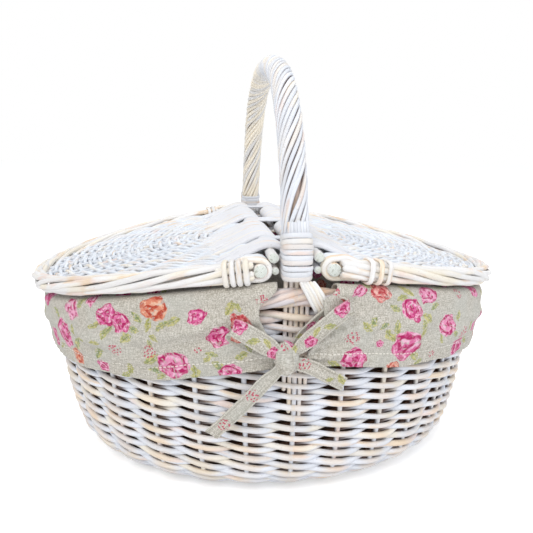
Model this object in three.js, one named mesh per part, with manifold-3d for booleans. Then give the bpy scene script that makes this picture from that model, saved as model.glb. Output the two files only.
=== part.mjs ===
// Oval willow picnic basket with two hinged half lids, a roped bow handle and a tied fabric liner.
// Millimetres, +Z up. The origin is the centre of the flat underside. X runs along the basket,
// from the left lid (-X) to the right lid (+X); Y runs front to back, with the front at -Y.
import * as THREE from "three";
import Module from "manifold-3d";
import { mergeVertices } from "three/addons/utils/BufferGeometryUtils.js";

const wasm = await Module();
wasm.setup();

// ---- driving dimensions ----
const GAP = 0.3; // air between neighbouring solids
const ROUND_STEPS = 48; // segments around a full oval

// wall
const BASE_HALF_DEPTH = 126;
const BASE_THICKNESS = 8;
const WALL_THICKNESS = 8;
const WALL_SPRING_Z = 28; // the rounded bottom edge ends here
const WALL_SPRING_HALF_DEPTH = 161;
const WALL_FLARE = 9;
const WALL_FLARE_HEIGHT = 38;
const STRETCH_AT_BASE = 25.5; // half length minus half depth at z = 0
const STRETCH_PER_MM = 0.093;

// roof line shared by the rim and the lids
const ROOF_POWER = 1.43;
const ROOF_DROP = 38;

// rim border
const RIM_TOP_Z = 179.5;
const RIM_HALF_DEPTH = 173.5;
const RIM_WIDTH = 14;
const RIM_HEIGHT = 15;

// lids
const LID_HALF_LENGTH = 225;
const LID_HALF_DEPTH = 176;
const LID_UNDERSIDE_Z = 185.7;
const LID_BORDER_WIDTH = 15;
const LID_BORDER_HEIGHT = 16.4;
const LID_WEAVE_THICKNESS = 8;
const LID_EDGE_X = 33; // weave and border start here
const LID_BINDINGS = { "-1": [36, 52], "1": [53, 67] }; // x range of the corner bindings on each lid
const LID_CORNER_WRAP = 1.1;

// hinge line: fixed rails on the basket, a rod along the straight edge of each lid
const RAIL_X = 16.8;
const RAIL_Z = 200;
const RAIL_RADIUS = 4;
const RAIL_HALF_LENGTH = 164;
const ROD_X = 27;
const ROD_Z = 191.5;
const ROD_RADIUS = 5.3;
const ROD_HALF_LENGTH = 169;
const SUPPORT_X = 15.7; // short rod ends under the rails
const SUPPORT_Z = 190.6;
const SUPPORT_RADIUS = 2.9;
const SUPPORT_ENDS = [146, 164];
// groups of turns that tie each lid to its rail, by the stretch of Y that they cover
const HINGE_LOOPS = {
  front: [-144, -116],
  middle_front: [-100, -14],
  middle_rear: [14, 100],
  rear: [116, 144],
};
const LOOP_WALL = 2.6;
const LOOP_ROUND_ROD = 8.5; // outer radius at the lid rod
const LOOP_ROUND_RAIL = [14, 7.5]; // outer half width and half height at the rail
// lashings that tie the two rails to each other
const RAIL_LASHINGS = { front: [-113, -103], middle: [-11, 11], rear: [103, 113] };

// handle
const HANDLE_CORE_RADIUS = 4.5;
const HANDLE_RADIUS = 10.4; // over the rods wound round the core
const BINDING_BOTTOM_Z = 185.5;
const BINDING_TOP_Z = 215.5;
const BINDING_HALF_WIDTH = 12.25;
const BINDING_WALL = 1.5;
const SPLINT_TOP_Z = 223.5;
const SPLINT_RADIUS = 1.6;
const SPLINT_COUNT = 6;
const SPLINT_REACH = HANDLE_RADIUS + 2 * GAP + SPLINT_RADIUS; // from the handle's centreline

// liner
const CLOTH = 1.6;
const BAG_FLOOR_Z = BASE_THICKNESS + 0.6;
const SKIRT_HEM_END_Z = 100;
const SKIRT_HEM_RISE = 15;
const OPENING_HALF_WIDTH = 27; // of the gap in the skirt around each handle leg
const OPENING_FOOT_HALF_WIDTH = 5;

// bow
const BOW_X = -6;
const BOW_Z = 125;
const BOW_Y = -178.5;
const RIBBON_WIDTH = 11;
const RIBBON_THICKNESS = 1.6;

// ---- materials ----
const willow = (colour) => new THREE.MeshStandardMaterial({ color: colour, roughness: 0.7, metalness: 0 });
const WHITE_WILLOW = 0xe9e6e2;
const CREAM_WILLOW = 0xe6dccb;
const BROWN_WILLOW = 0x9a6f4c;
const LINEN = 0xc8c4b4;

const basket = new THREE.Group();

function add(name, geometry, colour) {
  const mesh = new THREE.Mesh(geometry, willow(colour));
  mesh.name = name;
  basket.add(mesh);
  return mesh;
}

// ---- geometry helpers ----
function weld(geometry) {
  const bare = geometry.clone();
  bare.deleteAttribute("normal");
  bare.deleteAttribute("uv");
  return mergeVertices(bare);
}

function faceOut(geometry) {
  const p = geometry.attributes.position;
  const index = geometry.index.array;
  const [a, b, c] = [new THREE.Vector3(), new THREE.Vector3(), new THREE.Vector3()];
  let volume = 0;
  for (let i = 0; i < index.length; i += 3) {
    a.fromBufferAttribute(p, index[i]);
    b.fromBufferAttribute(p, index[i + 1]);
    c.fromBufferAttribute(p, index[i + 2]);
    volume += a.dot(b.cross(c));
  }
  if (volume < 0) {
    for (let i = 0; i < index.length; i += 3) {
      [index[i], index[i + 1]] = [index[i + 1], index[i]];
    }
  }
  return geometry;
}

// Moves every vertex of a straight solid to its place on the curved basket.
function bend(geometry, place) {
  const welded = weld(geometry);
  const p = welded.attributes.position;
  for (let i = 0; i < p.count; i += 1) {
    p.setXYZ(i, ...place(p.getX(i), p.getY(i), p.getZ(i)));
  }
  return faceOut(welded);
}

// A closed (radius, height) section carried round the full oval.
function ring(section, place) {
  const closed = [...section, section[0]].map(([r, z]) => new THREE.Vector2(r, z));
  const lathe = new THREE.LatheGeometry(closed, ROUND_STEPS);
  return bend(lathe, (x, z, y) => place(Math.hypot(x, y), Math.atan2(y, x), z));
}

// A flat section, with optional hole, carried along a path; t runs from 0 to 1.
function carry(section, steps, place) {
  const bar = new THREE.ExtrudeGeometry(section, { depth: 1, steps, bevelEnabled: false, curveSegments: 4 });
  return bend(bar, place);
}

function polygon(points) {
  return new THREE.Shape(points.map(([u, v]) => new THREE.Vector2(u, v)));
}

function roundSection(halfWidth, halfHeight, sides) {
  const corner = (i) => ((i + 0.5) / sides) * 2 * Math.PI;
  const points = Array.from({ length: sides }, (_, i) => [
    halfWidth * Math.cos(corner(i)),
    halfHeight * Math.sin(corner(i)),
  ]);
  return points;
}

function tube(curve, radius, steps, sides) {
  const section = polygon(roundSection(radius, radius, sides));
  const settings = { steps, bevelEnabled: false, extrudePath: curve };
  return faceOut(weld(new THREE.ExtrudeGeometry(section, settings)));
}

function toSolid(geometry) {
  const welded = weld(geometry);
  const mesh = new wasm.Mesh({
    numProp: 3,
    vertProperties: new Float32Array(welded.attributes.position.array),
    triVerts: new Uint32Array(welded.index.array),
  });
  return new wasm.Manifold(mesh);
}

function toGeometry(solid) {
  const mesh = solid.getMesh();
  const geometry = new THREE.BufferGeometry();
  geometry.setAttribute("position", new THREE.BufferAttribute(new Float32Array(mesh.vertProperties), 3));
  geometry.setIndex(new THREE.BufferAttribute(new Uint32Array(mesh.triVerts), 1));
  return geometry;
}

const cut = (body, ...tools) => toGeometry(tools.reduce((left, tool) => left.subtract(toSolid(tool)), toSolid(body)));
const join = (bodies) => toGeometry(bodies.map(toSolid).reduce((sum, next) => sum.add(next)));

const lerp = THREE.MathUtils.lerp;
const straight = (from, to) => new THREE.LineCurve3(new THREE.Vector3(...from), new THREE.Vector3(...to));
const smooth = (points) => new THREE.CatmullRomCurve3(points.map((p) => new THREE.Vector3(...p)));

// ---- shared shape of the basket ----
const stretch = (z) => STRETCH_AT_BASE + STRETCH_PER_MM * z;
const roofDrop = (fraction) => ROOF_DROP * Math.min(1, Math.abs(fraction)) ** ROOF_POWER;
const onOval = (r, angle, z) => [(r + stretch(z)) * Math.cos(angle), r * Math.sin(angle), z];

function wallHalfDepth(z) {
  return WALL_SPRING_HALF_DEPTH + WALL_FLARE * (1 - Math.exp((WALL_SPRING_Z - z) / WALL_FLARE_HEIGHT));
}

// ---- woven body ----
function baseWeave() {
  const oval = new THREE.Shape();
  const halfDepth = BASE_HALF_DEPTH - GAP;
  oval.absellipse(0, 0, halfDepth + STRETCH_AT_BASE, halfDepth, 0, 2 * Math.PI);
  return new THREE.ExtrudeGeometry(oval, { depth: BASE_THICKNESS, bevelEnabled: false, curveSegments: 24 });
}

// The rounded bottom edge, between the flat base and the wall.
function baseEdgeWale() {
  const outerReach = WALL_SPRING_HALF_DEPTH - BASE_HALF_DEPTH;
  const steps = 4;
  const outer = [];
  const inner = [];
  for (let i = 0; i <= steps; i += 1) {
    const turn = (i / steps) * 0.5 * Math.PI;
    const rise = 1 - Math.cos(turn);
    outer.push([BASE_HALF_DEPTH + outerReach * Math.sin(turn), WALL_SPRING_Z * rise]);
    inner.push([
      BASE_HALF_DEPTH + (outerReach - WALL_THICKNESS) * Math.sin(turn),
      BASE_THICKNESS + (WALL_SPRING_Z - BASE_THICKNESS) * rise,
    ]);
  }
  return ring([...outer, ...inner.reverse()], onOval);
}

const rimTop = (angle) => RIM_TOP_Z - roofDrop(Math.cos(angle));
const wallTop = (angle) => rimTop(angle) - RIM_HEIGHT - GAP;

function sideWeave() {
  const levels = [0, 0.15, 0.35, 0.6, 1];
  const bottom = WALL_SPRING_Z + GAP;
  const section = [...levels.map((t) => [1, t]), ...[...levels].reverse().map((t) => [0.5, t])];
  return ring(section, (side, angle, t) => {
    const z = lerp(bottom, wallTop(angle), t);
    const r = wallHalfDepth(z) - (side > 0.75 ? 0 : WALL_THICKNESS);
    return onOval(r, angle, z);
  });
}

function rimBorder() {
  const centre = RIM_HALF_DEPTH - RIM_WIDTH / 2;
  const section = roundSection(RIM_WIDTH / 2, RIM_HEIGHT / 2, 8).map(([u, v]) => [u + centre, v]);
  return ring(section, (r, angle, v) => onOval(r, angle, rimTop(angle) - RIM_HEIGHT / 2 + v));
}

// ---- handle ----
const HALF_ARCH = [
  [152, 65],
  [155.6, 150],
  [158, 182],
  [159, 198],
  [157, 214],
  [151, 232],
  [139.5, 262],
  [117, 300],
  [87, 327],
  [45, 343.5],
];
const HANDLE_APEX_Z = 348;
const handlePath = smooth([
  ...HALF_ARCH.map(([y, z]) => [0, -y, z]),
  [0, 0, HANDLE_APEX_Z],
  ...[...HALF_ARCH].reverse().map(([y, z]) => [0, y, z]),
]);
handlePath.arcLengthDivisions = 1200;

// Share of the handle's length, from the front foot, at which the front leg reaches height z.
function shareAtHeight(z) {
  let [low, high] = [0, 0.5];
  for (let i = 0; i < 40; i += 1) {
    const middle = (low + high) / 2;
    if (handlePath.getPointAt(middle).z < z) low = middle;
    else high = middle;
  }
  return low;
}

// A point beside the handle: distance r from its centreline, turned from the outside towards +X.
function besideHandle(share, r, turn) {
  const centre = handlePath.getPointAt(share);
  const along = handlePath.getTangentAt(share);
  const outward = new THREE.Vector3(0, -along.z, along.y);
  return centre.addScaledVector(outward, r * Math.cos(turn)).add(new THREE.Vector3(r * Math.sin(turn), 0, 0));
}

// The layer of rods wound round the core, from binding to binding, as one sleeve.
function handleRoping() {
  const sides = 10;
  const section = polygon(roundSection(HANDLE_RADIUS, HANDLE_RADIUS, sides));
  const bore = HANDLE_CORE_RADIUS + 2 * GAP;
  section.holes.push(polygon(roundSection(bore, bore, sides)));
  const from = shareAtHeight(BINDING_BOTTOM_Z);
  return carry(section, 40, (u, v, t) => {
    const place = besideHandle(lerp(from, 1 - from, t), Math.hypot(u, v), Math.atan2(u, v));
    return [place.x, place.y, place.z];
  });
}

class SplintCurve extends THREE.Curve {
  constructor(turn, rear) {
    super();
    this.turn = turn;
    this.rear = rear;
    this.from = shareAtHeight(BINDING_BOTTOM_Z);
    this.to = shareAtHeight(SPLINT_TOP_Z);
  }
  getPoint(t) {
    const share = lerp(this.from, this.to, t);
    return besideHandle(this.rear ? 1 - share : share, SPLINT_REACH, this.turn);
  }
}

function legSplints(rear) {
  const pitch = (2 * SPLINT_RADIUS - 0.3) / SPLINT_REACH;
  const rods = [];
  for (let i = 0; i < SPLINT_COUNT; i += 1) {
    const turn = (i - (SPLINT_COUNT - 1) / 2) * pitch;
    rods.push(tube(new SplintCurve(turn, rear), SPLINT_RADIUS, 2, 8));
  }
  return join(rods);
}

// Sleeve of turns round the leg: a rounded box, deeper on the outside where the splints are.
function handleBinding(rear) {
  const outside = 16.6;
  const inside = 12.3;
  const outline = (shrink) => {
    const width = BINDING_HALF_WIDTH - shrink;
    const [near, far] = [-(inside - shrink), outside - shrink];
    const corner = 8.5 - shrink;
    const path = new THREE.Shape();
    path.absarc(width - corner, far - corner, corner, 0, 0.5 * Math.PI);
    path.absarc(corner - width, far - corner, corner, 0.5 * Math.PI, Math.PI);
    path.absarc(corner - width, near + corner, corner, Math.PI, 1.5 * Math.PI);
    path.absarc(width - corner, near + corner, corner, 1.5 * Math.PI, 2 * Math.PI);
    return path;
  };
  const section = outline(0);
  section.holes.push(outline(BINDING_WALL));
  const [from, to] = [shareAtHeight(BINDING_BOTTOM_Z), shareAtHeight(BINDING_TOP_Z)];
  return carry(section, 3, (u, v, t) => {
    const share = lerp(from, to, t);
    const place = besideHandle(rear ? 1 - share : share, Math.hypot(u, v), Math.atan2(u, v));
    return [place.x, place.y, place.z];
  });
}

// Four rods laid side by side, from under the binding down across the rim.
function rimLashing(rear) {
  const side = rear ? -1 : 1;
  const rodRadius = 1.6;
  const face = RIM_HALF_DEPTH + rodRadius + 0.7;
  const rods = [];
  for (let i = 0; i < 4; i += 1) {
    const shift = (i - 1.5) * (2 * rodRadius - 0.3) * 1.15;
    const from = [side * (7.5 + shift), -side * face, 180.5];
    const to = [side * (19.5 + shift), -side * face, 161];
    rods.push(tube(straight(from, to), rodRadius, 1, 8));
  }
  return join(rods);
}

// ---- hinge line ----
const alongY = (x, z, halfLength) => straight([x, -halfLength, z], [x, halfLength, z]);

// Outline of a band pulled round two ovals, each given as [centre x, centre z, half width, half height].
function pulledRound(ovals, shrink) {
  const support = (turn) => {
    const [c, s] = [Math.cos(turn), Math.sin(turn)];
    const touches = ovals.map(([x, z, a, b]) => {
      const [wide, tall] = [a - shrink, b - shrink];
      const reach = Math.hypot(wide * c, tall * s);
      return { along: x * c + z * s + reach, point: [x + (wide * wide * c) / reach, z + (tall * tall * s) / reach] };
    });
    return touches.reduce((best, next) => (next.along > best.along ? next : best)).point;
  };
  const corners = 20;
  return polygon(Array.from({ length: corners }, (_, i) => support(((i + 0.5) / corners) * 2 * Math.PI)));
}

function bandAround(ovals, wall, [fromY, toY]) {
  const section = pulledRound(ovals, 0);
  section.holes.push(pulledRound(ovals, wall));
  return carry(section, 1, (x, z, t) => [x, lerp(fromY, toY, t), z]);
}

// One group of turns round a lid rod and its rail; side is -1 for the left lid and 1 for the right lid.
function hingeLoop(side, stretchOfY) {
  const roundRod = [side * ROD_X, ROD_Z, LOOP_ROUND_ROD, LOOP_ROUND_ROD];
  const roundRail = [side * RAIL_X, RAIL_Z, ...LOOP_ROUND_RAIL];
  return bandAround([roundRod, roundRail], LOOP_WALL, stretchOfY);
}

function railLashing(stretchOfY) {
  const wall = 2;
  const reach = RAIL_RADIUS + 2 * GAP + wall;
  const roundRails = [-1, 1].map((side) => [side * RAIL_X, RAIL_Z, reach, reach]);
  return bandAround(roundRails, wall, stretchOfY);
}

function railSupport(side, end) {
  const [from, to] = SUPPORT_ENDS;
  const at = (y) => [side * SUPPORT_X, end * y, SUPPORT_Z];
  return tube(straight(at(from), at(to)), SUPPORT_RADIUS, 1, 10);
}

// ---- lids ----
const lidUnderside = (x) => LID_UNDERSIDE_Z - roofDrop(x / LID_HALF_LENGTH);

// Point on the lid's oval, inset from the outer edge.
function onLid(inset, angle) {
  return [(LID_HALF_LENGTH - inset) * Math.cos(angle), (LID_HALF_DEPTH - inset) * Math.sin(angle)];
}

const lidAngleAt = (x) => Math.acos(x / (LID_HALF_LENGTH - LID_BORDER_WIDTH / 2));

function alongLidBorder(side, section, fromAngle, toAngle, steps) {
  return carry(section, steps, (u, v, t) => {
    const [x, y] = onLid(LID_BORDER_WIDTH / 2 - u, lerp(fromAngle, toAngle, t));
    return [side * x, y, lidUnderside(x) + LID_BORDER_HEIGHT / 2 + v];
  });
}

function lidBorder(side) {
  const section = polygon(roundSection(LID_BORDER_WIDTH / 2, LID_BORDER_HEIGHT / 2, 8));
  const corner = lidAngleAt(LID_EDGE_X + 1);
  return alongLidBorder(side, section, -corner, corner, 32);
}

function cornerBinding(side, end) {
  const [halfWidth, halfHeight] = [LID_BORDER_WIDTH / 2 + GAP, LID_BORDER_HEIGHT / 2 + GAP];
  const section = polygon(roundSection(halfWidth + LID_CORNER_WRAP, halfHeight + LID_CORNER_WRAP, 8));
  section.holes.push(polygon(roundSection(halfWidth, halfHeight, 8)));
  const [nearX, farX] = LID_BINDINGS[side];
  return alongLidBorder(side, section, end * lidAngleAt(farX), end * lidAngleAt(nearX), 3);
}

// The woven panel: straight lines fan from the hinge edge to the border.
function lidWeave(side) {
  const slab = new THREE.BoxGeometry(1, 2, 1, 7, 18, 1);
  const inset = LID_BORDER_WIDTH + LID_CORNER_WRAP + 2 * GAP;
  const corner = Math.acos((LID_EDGE_X + 2) / (LID_HALF_LENGTH - inset));
  const hingeHalfDepth = 0.8 * (LID_HALF_DEPTH - inset);
  const panel = bend(slab, (u, t, w) => {
    const [borderX, borderY] = onLid(inset, corner * t);
    const x = lerp(LID_EDGE_X, borderX, u + 0.5);
    const y = lerp(hingeHalfDepth * t, borderY, u + 0.5);
    return [side * x, y, lidUnderside(x) + LID_BORDER_HEIGHT / 2 + w * LID_WEAVE_THICKNESS];
  });
  const notches = Object.values(HINGE_LOOPS).map(([fromY, toY]) => {
    const notch = new THREE.BoxGeometry(8, toY - fromY + 2, 60);
    return notch.translate(side * (LID_EDGE_X - 1), (fromY + toY) / 2, RAIL_Z);
  });
  return cut(panel, ...notches);
}

// ---- liner ----
function linerBag() {
  const clear = 2 * HANDLE_CORE_RADIUS + 3;
  const levels = [0.06, 0.12, 0.3, 0.6, 1];
  const topGap = 24;
  const wallPoint = (angle, t, inset) => {
    const z = lerp(BAG_FLOOR_Z, rimTop(angle) - topGap, t);
    const edge = Math.min(1, (z - BAG_FLOOR_Z) / (WALL_SPRING_Z - BAG_FLOOR_Z));
    const round = Math.sqrt(1 - (1 - edge) ** 2);
    const spring = WALL_SPRING_HALF_DEPTH - WALL_THICKNESS;
    const r = z < WALL_SPRING_Z ? lerp(BASE_HALF_DEPTH - 6, spring, round) : wallHalfDepth(z) - WALL_THICKNESS;
    const [x, y] = onOval(r - clear - inset, angle, z);
    return [x + Math.cos(angle) * (clear - 2), y, z + (t < 0.01 ? inset : 0)];
  };
  const outer = levels.map((t) => [1, t]);
  const section = [[0, 0], [0.8, 0], ...outer, ...[...outer].reverse().map(([, t]) => [0.6, t]), [0.4, 0], [0, 0]];
  const lathe = new THREE.LatheGeometry(
    section.map(([r, t], i) => new THREE.Vector2(r, i < 2 + levels.length ? t : t + 10)),
    ROUND_STEPS,
  );
  return bend(lathe, (x, height, y) => {
    const inside = height >= 10;
    const t = inside ? height - 10 : height;
    const [r, angle] = [Math.hypot(x, y), Math.atan2(y, x)];
    if (r < 0.01) return [0, 0, BAG_FLOOR_Z + (inside ? CLOTH : 0)];
    return wallPoint(angle, t, inside ? CLOTH : 0);
  });
}

// Height of the skirt's hem: lowest at the ends, a little higher beside the handle.
const hemZ = (angle) => SKIRT_HEM_END_Z + SKIRT_HEM_RISE * (1 - Math.min(1, 1.9 * Math.abs(Math.cos(angle))));

// One half of the turned-over skirt: up the inside of the rim, over it and down the outside.
function linerSkirt(side) {
  const over = GAP + CLOTH;
  const inRim = RIM_HALF_DEPTH - RIM_WIDTH;
  // each point: radius, and height as a share: 0 hem, 1 underside of the rim, 2 top of the rim
  const outer = [
    ["wall", over + 0.9, 0],
    ["wall", over + 0.9, 0.8],
    ["rim", over, 1.15],
    ["rim", over, 1.75],
    ["rim", over - 4, 2.1],
    ["inner", 4 - over, 2.1],
    ["inner", -over, 1.75],
    ["inner", -over, 0.95],
  ];
  const inner = [
    ["inner", -GAP, 0.95],
    ["inner", -GAP, 1.73],
    ["inner", 4 - GAP, 2],
    ["rim", -4, 2],
    ["rim", GAP, 1.73],
    ["rim", GAP, 1.17],
    ["wall", 1.1, 0.8],
    ["wall", 1.1, 0],
  ];
  const outline = [...outer, ...inner];
  const place = ([from, offset, share], thickness, angle) => {
    const [hem, underRim, top] = [hemZ(angle), rimTop(angle) - RIM_HEIGHT, rimTop(angle)];
    const lift = share > 1.99 ? GAP + (share > 2.05 ? CLOTH : 0) : 0;
    const z = share < 1 ? lerp(hem, underRim, share) : lerp(underRim, top, Math.min(share, 2) - 1);
    const radius = { wall: wallHalfDepth(z), rim: RIM_HALF_DEPTH, inner: inRim }[from];
    return onOval(radius + offset, angle, z + lift);
  };
  const openingAt = (share) => lerp(OPENING_FOOT_HALF_WIDTH, OPENING_HALF_WIDTH, Math.min(1, share ** 0.8));
  const marker = polygon(outline.map((_, i) => {
    const turn = (i / outline.length) * 2 * Math.PI;
    return [100 * Math.cos(turn), 100 * Math.sin(turn)];
  }));
  return carry(marker, 20, (u, v, t) => {
    const i = Math.round((Math.atan2(v, u) / (2 * Math.PI)) * outline.length + outline.length) % outline.length;
    const halfSweep = Math.acos(openingAt(outline[i][2]) / 205);
    const angle = lerp(-halfSweep, halfSweep, t);
    const [x, y, z] = place(outline[i], 0, angle);
    return [side * x, y, z];
  });
}

// ---- bow ----
// Teardrop loop of ribbon from the knot to a tip; lean is the tip's place relative to the knot.
function bowLoop(side, reach, rise) {
  const length = Math.hypot(reach, rise);
  const tilt = Math.atan2(rise, side * reach);
  const teardrop = (shrink) => {
    const path = new THREE.Shape();
    path.moveTo(8 + 2.2 * shrink, 0);
    path.quadraticCurveTo(length * 0.6, -7.5 + shrink, length - shrink, -4 + shrink);
    path.quadraticCurveTo(length + 3 - shrink, 0, length - shrink, 4 - shrink);
    path.quadraticCurveTo(length * 0.6, 7.5 - shrink, 8 + 2.2 * shrink, 0);
    return path;
  };
  const section = teardrop(0);
  section.holes.push(teardrop(RIBBON_THICKNESS));
  return carry(section, 1, (u, v, t) => {
    const across = (t - 0.5) * RIBBON_WIDTH;
    return [
      BOW_X + u * Math.cos(tilt) - across * Math.sin(tilt),
      BOW_Y - 4 + v,
      BOW_Z + u * Math.sin(tilt) + across * Math.cos(tilt),
    ];
  });
}

function bowTail(points) {
  const path = smooth(points);
  const section = polygon([
    [-RIBBON_WIDTH / 2, -RIBBON_THICKNESS / 2],
    [RIBBON_WIDTH / 2, -RIBBON_THICKNESS / 2],
    [RIBBON_WIDTH / 2, RIBBON_THICKNESS / 2],
    [-RIBBON_WIDTH / 2, RIBBON_THICKNESS / 2],
  ]);
  return carry(section, 6, (u, v, t) => {
    const centre = path.getPointAt(t);
    const along = path.getTangentAt(t);
    const across = new THREE.Vector3(-along.z, 0, along.x).normalize();
    return [centre.x + u * across.x, centre.y + v, centre.z + u * across.z];
  });
}

function bowKnot() {
  const knot = new THREE.SphereGeometry(1, 12, 8);
  return bend(knot, (x, y, z) => [BOW_X + 7.5 * x, BOW_Y + 3.8 * z, BOW_Z + 10.5 * y]);
}

const LEFT_TAIL = [
  [BOW_X - 7, BOW_Y + 1.5, BOW_Z - 9],
  [BOW_X - 28, BOW_Y + 2.5, BOW_Z - 29],
  [BOW_X - 56, BOW_Y + 8, BOW_Z - 55],
];
const RIGHT_TAIL = [
  [BOW_X + 9, BOW_Y + 1.5, BOW_Z - 3],
  [BOW_X + 24, BOW_Y + 2.5, BOW_Z - 10],
  [BOW_X + 40, BOW_Y + 3, BOW_Z - 19],
];

function bow(prefix, half) {
  const pieces = {
    knot: bowKnot(),
    loop_left: bowLoop(-1, 43, 24),
    loop_right: bowLoop(1, 47, 38),
    tail_left: bowTail(LEFT_TAIL),
    tail_right: bowTail(RIGHT_TAIL),
  };
  for (const [name, geometry] of Object.entries(pieces)) {
    add(`${prefix}_bow_${name}`, geometry, LINEN).rotation.z = half * Math.PI;
  }
}

// ---- assembly ----
const handleCore = (radius, sides) => tube(handlePath, radius, 44, sides);
const coreRoom = handleCore(HANDLE_CORE_RADIUS + 2 * GAP, 8);

add("base_weave", baseWeave(), WHITE_WILLOW);
add("base_edge_wale", baseEdgeWale(), WHITE_WILLOW);
add("side_weave", sideWeave(), WHITE_WILLOW);
add("rim_border", cut(rimBorder(), coreRoom), CREAM_WILLOW);

add("handle_core", handleCore(HANDLE_CORE_RADIUS, 6), BROWN_WILLOW);
add("handle_roping", handleRoping(), WHITE_WILLOW);

for (const [end, rear] of [["front", false], ["rear", true]]) {
  add(`${end}_handle_binding`, handleBinding(rear), WHITE_WILLOW);
  add(`${end}_leg_splints`, legSplints(rear), WHITE_WILLOW);
  add(`${end}_rim_lashing`, rimLashing(rear), CREAM_WILLOW);
  for (const [name, side] of [["left", -1], ["right", 1]]) {
    add(`${end}_${name}_rail_support`, railSupport(side, rear ? 1 : -1), WHITE_WILLOW);
  }
}

for (const [place, stretchOfY] of Object.entries(RAIL_LASHINGS)) {
  add(`${place}_rail_lashing`, railLashing(stretchOfY), WHITE_WILLOW);
}

for (const [name, side] of [["left", -1], ["right", 1]]) {
  add(`${name}_hinge_rail`, tube(alongY(side * RAIL_X, RAIL_Z, RAIL_HALF_LENGTH), RAIL_RADIUS, 1, 12), CREAM_WILLOW);
  add(`${name}_lid_rod`, tube(alongY(side * ROD_X, ROD_Z, ROD_HALF_LENGTH), ROD_RADIUS, 1, 12), CREAM_WILLOW);
  add(`${name}_lid_border`, lidBorder(side), CREAM_WILLOW);
  add(`${name}_lid_weave`, lidWeave(side), WHITE_WILLOW);
  add(`${name}_lid_binding_front`, cornerBinding(side, -1), CREAM_WILLOW);
  add(`${name}_lid_binding_rear`, cornerBinding(side, 1), CREAM_WILLOW);
  for (const [place, stretchOfY] of Object.entries(HINGE_LOOPS)) {
    add(`${name}_hinge_loop_${place}`, hingeLoop(side, stretchOfY), WHITE_WILLOW);
  }
}

add("liner_bag", linerBag(), LINEN);
add("liner_skirt_left", linerSkirt(-1), LINEN);
add("liner_skirt_right", linerSkirt(1), LINEN);
bow("front", 0);
bow("rear", 1);

export default basket;
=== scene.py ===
"""Looks of the wicker picnic basket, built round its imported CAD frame.

Lengths in this script are millimetres until a mesh is made, which is where they become metres.
X runs from the left lid to the right lid, the front is at -Y, and Z is up from the underside.
"""

import math

import bpy
import numpy as np
from mathutils import Matrix, Vector


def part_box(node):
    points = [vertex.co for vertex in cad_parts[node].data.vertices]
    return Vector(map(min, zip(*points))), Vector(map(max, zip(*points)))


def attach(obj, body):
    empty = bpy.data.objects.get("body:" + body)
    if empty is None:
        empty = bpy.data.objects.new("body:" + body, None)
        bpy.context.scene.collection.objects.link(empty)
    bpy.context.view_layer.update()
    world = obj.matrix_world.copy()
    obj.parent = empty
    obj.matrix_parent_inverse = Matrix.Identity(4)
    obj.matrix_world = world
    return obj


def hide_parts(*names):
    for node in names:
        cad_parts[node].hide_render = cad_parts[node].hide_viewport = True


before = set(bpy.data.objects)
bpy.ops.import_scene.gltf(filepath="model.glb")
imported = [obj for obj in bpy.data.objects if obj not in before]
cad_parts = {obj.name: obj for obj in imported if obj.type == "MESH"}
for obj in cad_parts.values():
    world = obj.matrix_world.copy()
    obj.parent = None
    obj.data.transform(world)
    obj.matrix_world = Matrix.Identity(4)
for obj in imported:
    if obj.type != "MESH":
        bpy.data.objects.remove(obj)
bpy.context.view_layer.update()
MM = 0.001
TAU = 2 * math.pi
QUARTER = math.pi / 2
UP = np.array([0.0, 0.0, 1.0])
SIDES = (("left", -1), ("right", 1))


def node_box(node):
    """Lowest and highest corner of a CAD node, in millimetres."""
    low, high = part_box(node)
    return np.array(low) / MM, np.array(high) / MM


# ---------------------------------------------------------------- shape shared with the CAD frame
WALL_SPRING_Z = 28.0
WALL_FLARE = 9.0
WALL_FLARE_HEIGHT = 38.0
STRETCH_PER_MM = 0.093
ROOF_POWER = 1.43
ROOF_DROP = 38.0
RIM_WIDTH = 14.0
RIM_HEIGHT = 15.0
LID_BORDER_WIDTH = 15.0
LID_BORDER_HEIGHT = 16.4
LID_HALF_DEPTH = 176.0

BASE_HALF_LENGTH, BASE_HALF_DEPTH, BASE_THICKNESS = node_box("base_weave")[1]
STRETCH_AT_BASE = BASE_HALF_LENGTH - BASE_HALF_DEPTH
EDGE_HALF_DEPTH = node_box("base_edge_wale")[1][1]
RIM_HALF_DEPTH, RIM_TOP_Z = node_box("rim_border")[1][1:]
LID_HALF_LENGTH = node_box("right_lid_border")[1][0]


def stretch(z):
    """How much longer than deep the oval is at height z, on each side."""
    return STRETCH_AT_BASE + STRETCH_PER_MM * z


def roof_drop(fraction):
    """How far the rim and the lids fall away, at a fraction of the way from the middle to an end."""
    return ROOF_DROP * np.minimum(1, np.abs(fraction)) ** ROOF_POWER


def wall_half_depth(z):
    rise = 1 - np.exp((WALL_SPRING_Z - np.maximum(z, WALL_SPRING_Z)) / WALL_FLARE_HEIGHT)
    return EDGE_HALF_DEPTH + WALL_FLARE * rise


def on_oval(r, angle, z):
    return xyz((r + stretch(z)) * np.cos(angle), r * np.sin(angle), z)


def oval_outward(r, angle, z):
    return unit(xyz(r * np.cos(angle), (r + stretch(z)) * np.sin(angle), 0))


def rim_top(angle):
    return RIM_TOP_Z - roof_drop(np.cos(angle))


def wall_top(angle):
    return rim_top(angle) - RIM_HEIGHT


# ---------------------------------------------------------------- small maths
def xyz(x, y, z):
    """Points from their coordinates, each an array or a number."""
    return np.stack(np.broadcast_arrays(x, y, z), -1).astype(float)


def unit(v):
    v = np.asarray(v, float)
    return v / np.maximum(np.linalg.norm(v, axis=-1, keepdims=True), 1e-9)


def lerp(a, b, t):
    return a + (b - a) * t


def smoothstep(low, high, x):
    t = np.clip((x - low) / (high - low), 0, 1)
    return t * t * (3 - 2 * t)


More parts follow.
